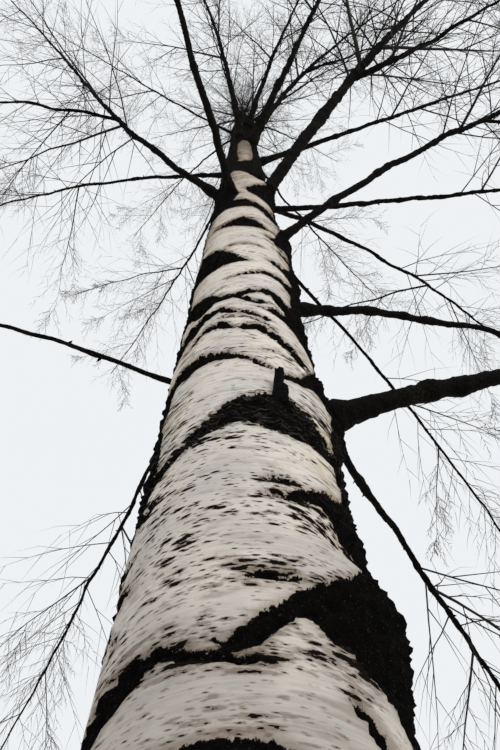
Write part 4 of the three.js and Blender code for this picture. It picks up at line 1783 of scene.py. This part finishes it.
@dataclass(frozen=True)
class Limb:
    """A bough with its spray, or a spray that stands straight on the upper trunk.

    Attributes:
        name: the name of its first CAD node.
        height: where it leaves the trunk's axis.
        azimuth: its azimuth there.
        rise: its slope there.
        bend: how far the slope changes over its length.
        turn: how far the azimuth changes.
        length: its whole length.
        radius: its radius at the trunk.
        bare: the steps before the first side twig, where the bough ends and the spray begins.
        forks: the strong side limbs of its spray.
        collar: how much thicker it is where it leaves the trunk.
        slim: the share by which it is slimmer than its solid near the trunk.
    """

    name: str
    height: float
    azimuth: float
    rise: float
    bend: float
    turn: float
    length: float
    radius: float
    bare: int = 3
    forks: tuple[Fork, ...] = ()
    collar: float = COLLAR_SHARE
    slim: float = 0.0

    @property
    def spray(self) -> str:
        """Returns the name of the CAD node of its spray."""
        return self.name.replace("bough", "spray")

    @property
    def bare_share(self) -> float:
        """Returns the share of its length before the spray begins."""
        return self.bare / STEPS

    def line(self) -> list[Vector]:
        """Runs the limb from inside the trunk: it rises, turns, and hangs over towards its tip.

        Returns:
            Its corners.
        """
        root = FORM.axis(self.height) + heading(self.azimuth, 0) * (LIMB_ROOT * FORM.taper(self.height))
        points = [root]
        for i in range(STEPS):
            share = (i + 0.5) / STEPS
            way = heading(self.azimuth + self.turn * share, self.rise + self.bend * share - DROOP * share**3)
            points.append(points[i] + way * (self.length / STEPS))
        return points

    def exit(self, line: list[Vector]) -> float:
        """Finds where the limb comes out of the trunk.

        Args:
            line: its corners.

        Returns:
            The distance along the limb.
        """
        for i in range(1, len(line)):
            for part in range(1, EXIT_PARTS + 1):
                point = line[i - 1].lerp(line[i], part / EXIT_PARTS)
                if FORM.off_axis(point) > FORM.radius(np.array(point.z), np.array(self.azimuth)):
                    return (i - 1 + part / EXIT_PARTS) * self.length / STEPS
        return 0.0

    def swelling(self) -> Swelling:
        """Measures the swelling that the limb raises on the trunk.

        Returns:
            The swelling.
        """
        climb = self.exit(self.line()) * math.sin(math.radians(self.rise))
        stout = self.radius * (1 + 0.5 * self.collar)
        width = math.degrees(SWELL_WIDTH * stout / FORM.taper(self.height))
        return Swelling(self.height + climb, self.azimuth, SWELL_OUT * stout, SWELL_TALL * stout, width)

    def radius_at(self, distance: float, exit_at: float) -> float:
        """Returns the radius at a distance along the limb, with its collar."""
        plain = self.radius * (1 - (1 - TIP_SHARE) * (distance / self.length) ** TAPER_POWER)
        return plain * (1 + self.collar * math.exp(-max(distance - exit_at, 0) / COLLAR_REACH))

    def eased_radius(self, distance: float, exit_at: float) -> float:
        """Measures the radius with an eased collar on a stout bough, and a root that narrows in the trunk.

        Args:
            distance: how far along the limb.
            exit_at: the distance where it comes out of the trunk.

        Returns:
            The radius.
        """
        radius = self.radius_at(distance, exit_at)
        collar = self.collar * math.exp(-max(distance - exit_at, 0) / COLLAR_REACH)
        eased = collar * min(1, COLLAR_EASE / self.radius)
        root = ROOT_SHARE + (1 - ROOT_SHARE) * min(distance / max(exit_at, 0.001), 1) ** ROOT_POWER
        slim = 1 - self.slim * math.exp(-distance / SLIM_REACH)
        return radius * (1 + eased) / (1 + collar) * root * slim

    def whole(self, line: list[Vector], exit_at: float, seed: int) -> Stem:
        """Makes the limb from the trunk to its tip as one smooth line that wavers a little.

        Args:
            line: its corners.
            exit_at: the distance where it comes out of the trunk.
            seed: what its waver follows from.

        Returns:
            The stem.
        """
        points = smooth_line(line, LIMB_PARTS)
        radii = []
        for i, point in enumerate(points):
            distance = i * self.length / (len(points) - 1)
            waver = Vector()
            for pitch, seed_share, layer, width in LIMB_WAVERS:
                waver += noise.noise_vector(Vector((distance * pitch, seed * seed_share, layer))) * width
            point += waver * (min(distance / WAVER_FROM, 1) * min(1, STOUT / self.radius))
            radii.append(self.eased_radius(distance, exit_at))
        return Stem(points, radii, seed, self.length)

    def fork(self, fork: Fork, stem: Stem, seed: int) -> Stem:
        """Grows a fork.

        Args:
            fork: where it leaves, and which way it goes.
            stem: the limb's stem beyond its bare part.
            seed: what it follows from.

        Returns:
            The fork's stem.
        """
        share = (fork.at - self.bare_share) / (1 - self.bare_share)
        point, _, radius = stem.at(share)
        length = stem.reach * (1 - SHORTER_FORK * share) * FORK_SHARE
        way = heading(fork.azimuth, fork.rise)
        points = twig_line(point, way, length, FORK_STEPS, FORK_HANG, seeded(seed))
        thins = [1 - FORK_TAPER * i / FORK_STEPS for i in range(FORK_STEPS + 1)]
        radii = [max(radius * FORK_THICKNESS * thin, FORK_LEAST) for thin in thins]
        stem.knots.append(share)
        return Stem(points, radii, seed, length)


BOUGHS = (
    Limb("low_right_bough", 2.42, 96, 39, -27, 2, 3.0, 0.021, 3, (Fork(0.5, 68, 20),), 1.0),
    Limb("low_left_bough", 2.55, -91, 41, -18, 1, 2.8, 0.007, 3, (Fork(0.5, -60, 12),), 0.3, 0.35),
    Limb("back_right_bough", 3.0, 151, 22, -27, -6, 2.7, 0.015),
    Limb("middle_right_bough", 3.1, 107, 43, -37, 19, 3.0, 0.014, 3, (Fork(0.45, 95, 15),)),
    Limb("forked_right_bough", 3.53, 71, 57, -21, 11, 3.2, 0.018, 3, (Fork(0.5, 100, 30),), 0.5, 0.3),
    Limb("back_left_bough", 3.82, -160, 8, -4, 12, 2.8, 0.012),
    Limb("front_left_bough", 4.02, -23, 55, -6, 11, 3.4, 0.021, 3, (Fork(0.45, -60, 32),), 0.5, 0.3),
    Limb("thin_back_bough", 4.055, 139, 23, -60, 2, 2.2, 0.009),
    Limb("great_right_bough", 4.17, 51, 67, -3, 4, 4.0, 0.038, 3, (Fork(0.4, 76, 52),), 0.5, 0.4),
    Limb("level_right_bough", 4.315, 96, 41, -16, -11, 3.2, 0.015, slim=0.2),
    Limb("long_left_bough", 4.335, -72, 55, 25, 22, 3.5, 0.017, 2, (Fork(0.36, -83, 26),)),
    Limb("spreading_right_bough", 5.59, 81, 52, -14, -7, 3.2, 0.019),
    Limb("high_right_bough", 6.61, 46, 73, -11, 14, 3.5, 0.025, 3, (Fork(0.5, 75, 40),), 0.5, -0.35),
    Limb("high_left_bough", 6.16, -12, 70, -8, -16, 3.0, 0.022, slim=-0.35),
    Limb("high_front_right_bough", 5.9, 30, 57, -8, -1, 3.4, 0.024, slim=-0.35),
    Limb("high_front_bough", 7.03, 21, 68, -6, 11, 3.0, 0.022, slim=-0.35),
)


MIDDLE_BOUGHS = 6
UPPER_SPRAYS = 12


def middle_boughs() -> list[Limb]:
    """Sets the boughs round the back and sides of the middle crown.

    Returns:
        The boughs, from the lowest up.
    """
    limbs = []
    for i in range(MIDDLE_BOUGHS):
        share = i / (MIDDLE_BOUGHS - 1)
        height, rise = blend(4.65, 8.0, share), 44 + 16 * share
        azimuth = 186 + 66 * ((2 * i) % 3 - 1) + 9 * i
        turn, forks = (-12, ()) if i % 2 else (12, (Fork(0.5, 256, 30),))
        length, radius = blend(3.3, 2.5, share), 0.013 - 0.003 * share
        name = f"middle_bough_{i + 1}"
        limbs.append(Limb(name, height, azimuth, rise, -14, turn, length, radius, 3, forks))
    return limbs


def upper_sprays() -> list[Limb]:
    """Sets the sprays that stand straight on the upper trunk.

    Returns:
        The sprays, from the lowest up.
    """
    limbs = []
    for i in range(UPPER_SPRAYS):
        share = i / (UPPER_SPRAYS - 1)
        height, azimuth, rise = blend(8.35, 12.9, share), 60 + GOLDEN_ANGLE * i, 60 + 8 * share
        length, radius = blend(2.5, 0.62, share), 0.013 - 0.006 * share
        limbs.append(Limb(f"upper_spray_{i + 1}", height, azimuth, rise, -10, 8, length, radius, 0))
    return limbs


@dataclass
class Spray:
    """All that grows from one limb.

    Attributes:
        node: the CAD node of the spray.
        bough: the CAD node of the bough, or none for a spray that stands straight on the trunk.
        limbs: the thick stems: the limb itself, from the trunk to its tip, and its forks.
        coarse: the twigs that are solids in the source.
        fine: the finer twigs.
    """

    node: str
    bough: str | None
    limbs: list[Stem]
    coarse: list[Stem] = field(default_factory=list)
    fine: list[Stem] = field(default_factory=list)


@dataclass
class Crown:
    """The crown: boughs, forks and twigs, grown by the source's rule.

    Attributes:
        low: the lowest corner of the CAD box.
        high: its highest corner.
        room: the room that coarse twigs have taken.
        sprays: what has grown.
    """

    low: list[float]
    high: list[float]
    room: Room = field(default_factory=Room)
    sprays: list[Spray] = field(default_factory=list)

    def build(self) -> list[bpy.types.Object]:
        """Builds the limbs in two pieces, and the twigs in one for each brown that is dealt out by spray.

        Returns:
            The dressed pieces.
        """
        self._grow()
        pieces = [
            self._limb_piece("lower_limbs", self.sprays[:LOWER_LIMBS], 3),
            self._limb_piece("upper_limbs", self.sprays[LOWER_LIMBS:], 2),
        ]
        for index, finish in enumerate(TWIG_BARKS):
            dealt = self.sprays[index :: len(TWIG_BARKS)]
            pieces.append(self._twig_piece(f"twigs_{index + 1}", dealt, finish))
        return pieces

    @staticmethod
    def _limb_piece(name: str, sprays: list[Spray], parts: int) -> bpy.types.Object:
        """Joins the thick stems of sprays.

        Args:
            name: the piece's name.
            sprays: the sprays.
            parts: how many stretches of a tube stand for each one of its stem.

        Returns:
            The dressed piece.
        """
        tubes = []
        for stem in (stem for spray in sprays for stem in spray.limbs):
            tubes += [stem.tube(parts), *stem.spurs()]
        boughs = [spray.bough for spray in sprays if spray.bough]
        return dress_piece(join_tubes(name, tubes), LIMB_BARK, boughs)

    @staticmethod
    def _twig_piece(name: str, sprays: list[Spray], finish: Finish) -> bpy.types.Object:
        """Joins the twigs of sprays.

        Args:
            name: the piece's name.
            sprays: the sprays.
            finish: their brown.

        Returns:
            The dressed piece.
        """
        tubes = []
        for spray in sprays:
            tubes += [Tube(twig.points, twig.radii, COARSE_SIDES) for twig in spray.coarse]
            tubes += [Tube(twig.points, twig.radii, FINE_SIDES) for twig in spray.fine]
        return dress_piece(join_tubes(name, tubes), finish, [spray.node for spray in sprays])

    def _grow(self) -> None:
        """Grows every spray, the limbs' own room being taken first."""
        limbs = [*BOUGHS, *middle_boughs(), *upper_sprays()]
        lines = [limb.line() for limb in limbs]
        for limb, line in zip(limbs, lines):
            if limb.bare:
                exit_at = limb.exit(line)
                radii = [limb.radius_at(i * limb.length / STEPS, exit_at) for i in range(limb.bare + 1)]
                self.room.take(limb.name, line[: limb.bare + 1], radii)
        for index, (limb, line) in enumerate(zip(limbs, lines)):
            self.sprays.append(self._spray(limb, line, FIRST_SEED + NEXT_SEED * index))
        self.sprays.append(self._leader())

    def _spray(self, limb: Limb, line: list[Vector], seed: int) -> Spray:
        """Grows one limb's spray.

        Args:
            limb: the limb.
            line: its corners.
            seed: what the spray follows from.

        Returns:
            The spray.
        """
        exit_at = limb.exit(line)
        stops = [i * limb.length / STEPS for i in range(limb.bare, STEPS + 1)]
        if not limb.bare:
            stops = sorted([*stops, exit_at])
        shares = [stop / limb.length for stop in stops]
        radii = [limb.radius_at(stop, exit_at) for stop in stops]
        self.room.take(limb.spray, [point_at(line, share) for share in shares], radii)
        whole = limb.whole(line, exit_at, seed)
        first = limb.bare * LIMB_PARTS
        stem = Stem(whole.points[first:], whole.radii[first:], seed, limb.length * (1 - limb.bare_share))
        if not limb.bare:
            stem.marks = shares
        spray = Spray(limb.spray, limb.name if limb.bare else None, [whole])
        parents = [(stem, SIDE_TWIGS.count)]
        for index, fork in enumerate(limb.forks):
            grown = limb.fork(fork, stem, child_seed(seed, FORK_SEED + index))
            if not self.room.claim(limb.spray, grown):
                continue
            grown.seed = child_seed(seed, FORK_TWIG_SEED + index)
            spray.limbs.append(grown.rounded(FORK_PARTS))
            parents.append((spray.limbs[-1], FORK_TWIGS))
        self._twigs(spray, parents)
        whole.knots = [limb.bare_share + (1 - limb.bare_share) * share for share in stem.knots]
        return spray

    def _twigs(self, spray: Spray, parents: list[tuple[Stem, int]]) -> None:
        """Grows the twigs of every order on the stems of a spray.

        Args:
            spray: the spray.
            parents: its stems, each with the number of its coarse twigs.
        """
        for parent, count in parents:
            for twig in parent.twigs(SIDE_TWIGS, count):
                if not self.room.claim(spray.node, twig):
                    continue
                side = twig.rounded(TWIG_PARTS)
                spray.coarse.append(side)
                for end in twig.twigs(END_TWIGS, END_TWIGS.count):
                    if self.room.claim(spray.node, end):
                        spray.coarse.append(end.rounded(TWIG_PARTS))
                        self._fine(spray, spray.coarse[-1], FINE_ON_END)
                self._fine(spray, side, FINE_ON_SIDE)
            self._fine(spray, parent, FINE_ON_STEM)

    def _fine(self, spray: Spray, parent: Stem, rule: TwigRule) -> None:
        """Grows the two finest orders on a stem, each twig only where it stays inside the crown.

        Args:
            spray: the spray that they belong to.
            parent: the stem.
            rule: how the first of the two orders grows.
        """
        for twig in parent.twigs(rule, rule.count, STREAM_SHIFT):
            if self._inside(twig):
                spray.fine.append(twig)
                spray.fine += filter(self._inside, twig.twigs(LAST_TWIGS, LAST_TWIGS.count))

    def _inside(self, twig: Stem) -> bool:
        """Looks whether a twig stays inside the crown's reach and clear of the trunk.

        Args:
            twig: the twig.

        Returns:
            Whether it does.
        """
        for point in twig.points[1:]:
            if not clear_of_trunk(point, FINE_ROOM):
                return False
            reach = zip(self.low, point, self.high)
            if any(not low - CROWN_MARGIN < at < high + CROWN_MARGIN for low, at, high in reach):
                return False
        return True

    def _leader(self) -> Spray:
        """Grows the leader: the last of the trunk's line, with twigs all round.

        Returns:
            The leader's spray.
        """
        length = FORM.tree_height - FORM.top
        points = [FORM.axis(FORM.top + length * i / LEADER_STEPS) for i in range(LEADER_STEPS + 1)]
        thick = FORM.taper(FORM.top)
        radii = [thick + (LEADER_TIP - thick) * i / LEADER_STEPS for i in range(LEADER_STEPS + 1)]
        self.room.take("leader_spray", points, radii)
        stem = Stem(points, radii, LEADER_SEED, length).rounded(LEADER_PARTS)
        spray = Spray("leader_spray", None, [stem])
        self._twigs(spray, [(stem, LEADER_TWIGS)])
        return spray


# The snag


@dataclass
class Snag:
    """The broken stub of a dead twig, which points up along the trunk.

    Attributes:
        sunk: how deep its foot lies in the trunk, in radii.
        shoulder: the share of its length where the torn wood ends.
        lean: how far it leans out from the upright, in degrees.
        tear: how uneven its end is, as a share of its length.
        core: how far up the heart of the wood reaches.
        ragged: how uneven its girth is.
        root: how much thicker its foot is.
        heel: how much the torn wood of the shoulder adds.
    """

    height: float = 2.232
    azimuth: float = 19
    length: float = 0.081
    radius: float = 0.0072
    sunk: float = 1.6
    shoulder: float = 0.56
    lean: float = 17
    tear: float = 0.03
    core: float = 0.9
    ragged: float = 0.2
    root: float = 0.35
    heel: float = 1.5
    sides: int = 14
    rings: int = 26

    def build(self) -> list[bpy.types.Object]:
        """Builds the stub with its splintered end.

        Returns:
            The dressed piece.
        """
        deselect_all()
        bpy.ops.mesh.primitive_cylinder_add(vertices=self.sides, radius=1, depth=1, end_fill_type="TRIFAN")
        piece = bpy.context.active_object
        piece.name = piece.data.name = "snag"
        bpy.ops.object.mode_set(mode="EDIT")
        bpy.ops.mesh.select_all(action="DESELECT")
        bpy.ops.object.mode_set(mode="OBJECT")
        for edge in piece.data.edges:
            low, high = (piece.data.vertices[v].co for v in edge.vertices)
            edge.select = abs(low.z - high.z) > 0.5
        bpy.ops.object.mode_set(mode="EDIT")
        bpy.ops.mesh.select_mode(type="EDGE")
        bpy.ops.mesh.subdivide(number_cuts=self.rings)
        bpy.ops.object.mode_set(mode="OBJECT")
        self._shape(piece.data)
        bpy.ops.object.shade_smooth_by_angle(angle=math.radians(50))
        return [dress_piece(piece, SNAG_WOOD, ["broken_snag"])]

    def _shape(self, mesh: bpy.types.Mesh) -> None:
        """Moves the cylinder's corners to the weathered stub.

        Args:
            mesh: the cylinder, which stands from -0.5 to 0.5 and has a radius of 1.
        """
        bark = float(FORM.radius(np.array(self.height), np.array(self.azimuth)))
        foot = FORM.axis(self.height) + heading(self.azimuth, 0) * (bark - self.sunk * self.radius)
        along = heading(self.azimuth, 90 - self.lean)
        out = along.cross(UP).normalized()
        over = along.cross(out)
        for vertex in mesh.vertices:
            share = vertex.co.z + 0.5
            turn = math.atan2(vertex.co.y, vertex.co.x)
            middle = math.hypot(vertex.co.x, vertex.co.y) < 0.5
            across = out * math.cos(turn) + over * math.sin(turn)
            torn = self.tear * math.cos(turn * 3 + 0.9) + self.tear * math.cos(turn * 6)
            torn -= self.tear * across.x
            reach = share * self.core if middle else share * (1 + torn * share**4)
            ragged = 1 + self.ragged * noise.noise(Vector((turn, share * 9, 4)))
            spread = 0.0 if middle else self._spread(share, across.x) * ragged
            vertex.co = foot + along * (self.length * reach) + across * spread

    def _spread(self, share: float, right: float) -> float:
        """Measures the radius, with the shoulder of torn wood low on the right side.

        Args:
            share: the share of the length.
            right: how far to the right the place lies, from -1 to 1.

        Returns:
            The radius there.
        """
        root = self.root * max(1 - share * 4, 0) ** 1.5
        ragged = 0.8 + 0.5 * noise.noise(Vector((share * 31, 2, 7)))
        shoulder = self.heel * ragged * max(right, 0) ** 1.2 if 0.1 < share < self.shoulder else 0.0
        return self.radius * (1 + root + shoulder)


# The studio


@dataclass(frozen=True)
class Lamp:
    """A soft square light: its name, place, the point that it faces, its size and its power."""

    name: str
    place: Triple
    target: Triple
    size: float
    power: float


@dataclass(frozen=True)
class Studio:
    """The floor, the sky, the lights and the camera.

    Attributes:
        eye: where the camera stands.
        tilt: how far it looks up from the horizontal, in degrees.
        lens: its focal length in millimetres, on a frame whose long side is that of frame.
    """

    eye: Triple = (-0.0144, -0.552, 1.35)
    tilt: float = 66.6
    lens: float = 35.0
    frame: float = 36.0
    sky: Colour = (0.86, 0.88, 0.9)
    floor_size: float = 500.0
    lamps: tuple[Lamp, ...] = (
        Lamp("key", (5.5, -6.0, 7.5), (0, 0, 3.0), 5.0, 340),
        Lamp("rim", (1.0, 7.5, 10.0), (0, 0, 7.0), 7.0, 90),
    )

    def build(self) -> None:
        """Builds the studio round the tree."""
        self._floor()
        self._sky()
        for lamp in self.lamps:
            self._light(lamp)
        self._camera()
        bpy.context.scene.view_settings.view_transform = "Standard"

    def _floor(self) -> None:
        """Lays the floor."""
        deselect_all()
        bpy.ops.mesh.primitive_plane_add(size=self.floor_size, location=(0, 0, 0))
        floor = bpy.context.active_object
        floor.name = "floor"
        floor.data.materials.append(FLOOR_PAINT.material())
        floor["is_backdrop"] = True

    def _sky(self) -> None:
        """Lights the world evenly."""
        world = bpy.data.worlds.new("sky")
        bpy.context.scene.world = world
        world.use_nodes = True
        nodes = NodeTree(world.node_tree)
        light = nodes.add("ShaderNodeBackground", Color=self.sky, Strength=1.0)
        nodes.add("ShaderNodeOutputWorld", Surface=light)

    @staticmethod
    def _light(lamp: Lamp) -> None:
        """Hangs a light.

        Args:
            lamp: the light.
        """
        light = bpy.data.lights.new(lamp.name, "AREA")
        light.size = lamp.size
        light.energy = lamp.power
        hung = bpy.data.objects.new(lamp.name, light)
        bpy.context.scene.collection.objects.link(hung)
        hung.location = lamp.place
        hung.rotation_euler = (Vector(lamp.target) - Vector(lamp.place)).to_track_quat("-Z", "Y").to_euler()

    def _camera(self) -> None:
        """Puts the camera at the foot of the trunk, looking steeply up it."""
        lens = bpy.data.cameras.new("camera")
        lens.lens = self.lens
        lens.sensor_width = self.frame
        lens.clip_start = 0.01
        camera = bpy.data.objects.new("camera", lens)
        bpy.context.scene.collection.objects.link(camera)
        camera.location = self.eye
        camera.rotation_euler = (math.radians(90 + self.tilt), 0, 0)
        bpy.context.scene.camera = camera


def main() -> None:
    """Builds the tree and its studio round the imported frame."""
    logging.basicConfig(level=logging.INFO, format="%(message)s")
    noise.seed_set(WAVER_SEED)
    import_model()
    packed = [list(corner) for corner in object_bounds()]
    for part in (Trunk(), Crown(*packed), Snag()):
        for piece in part.build():
            triangles = len(piece.data.loops) - 2 * len(piece.data.polygons)
            log.info("%s: %d triangles", piece.name, triangles)
    Studio().build()


if __name__ == "__main__":
    main()
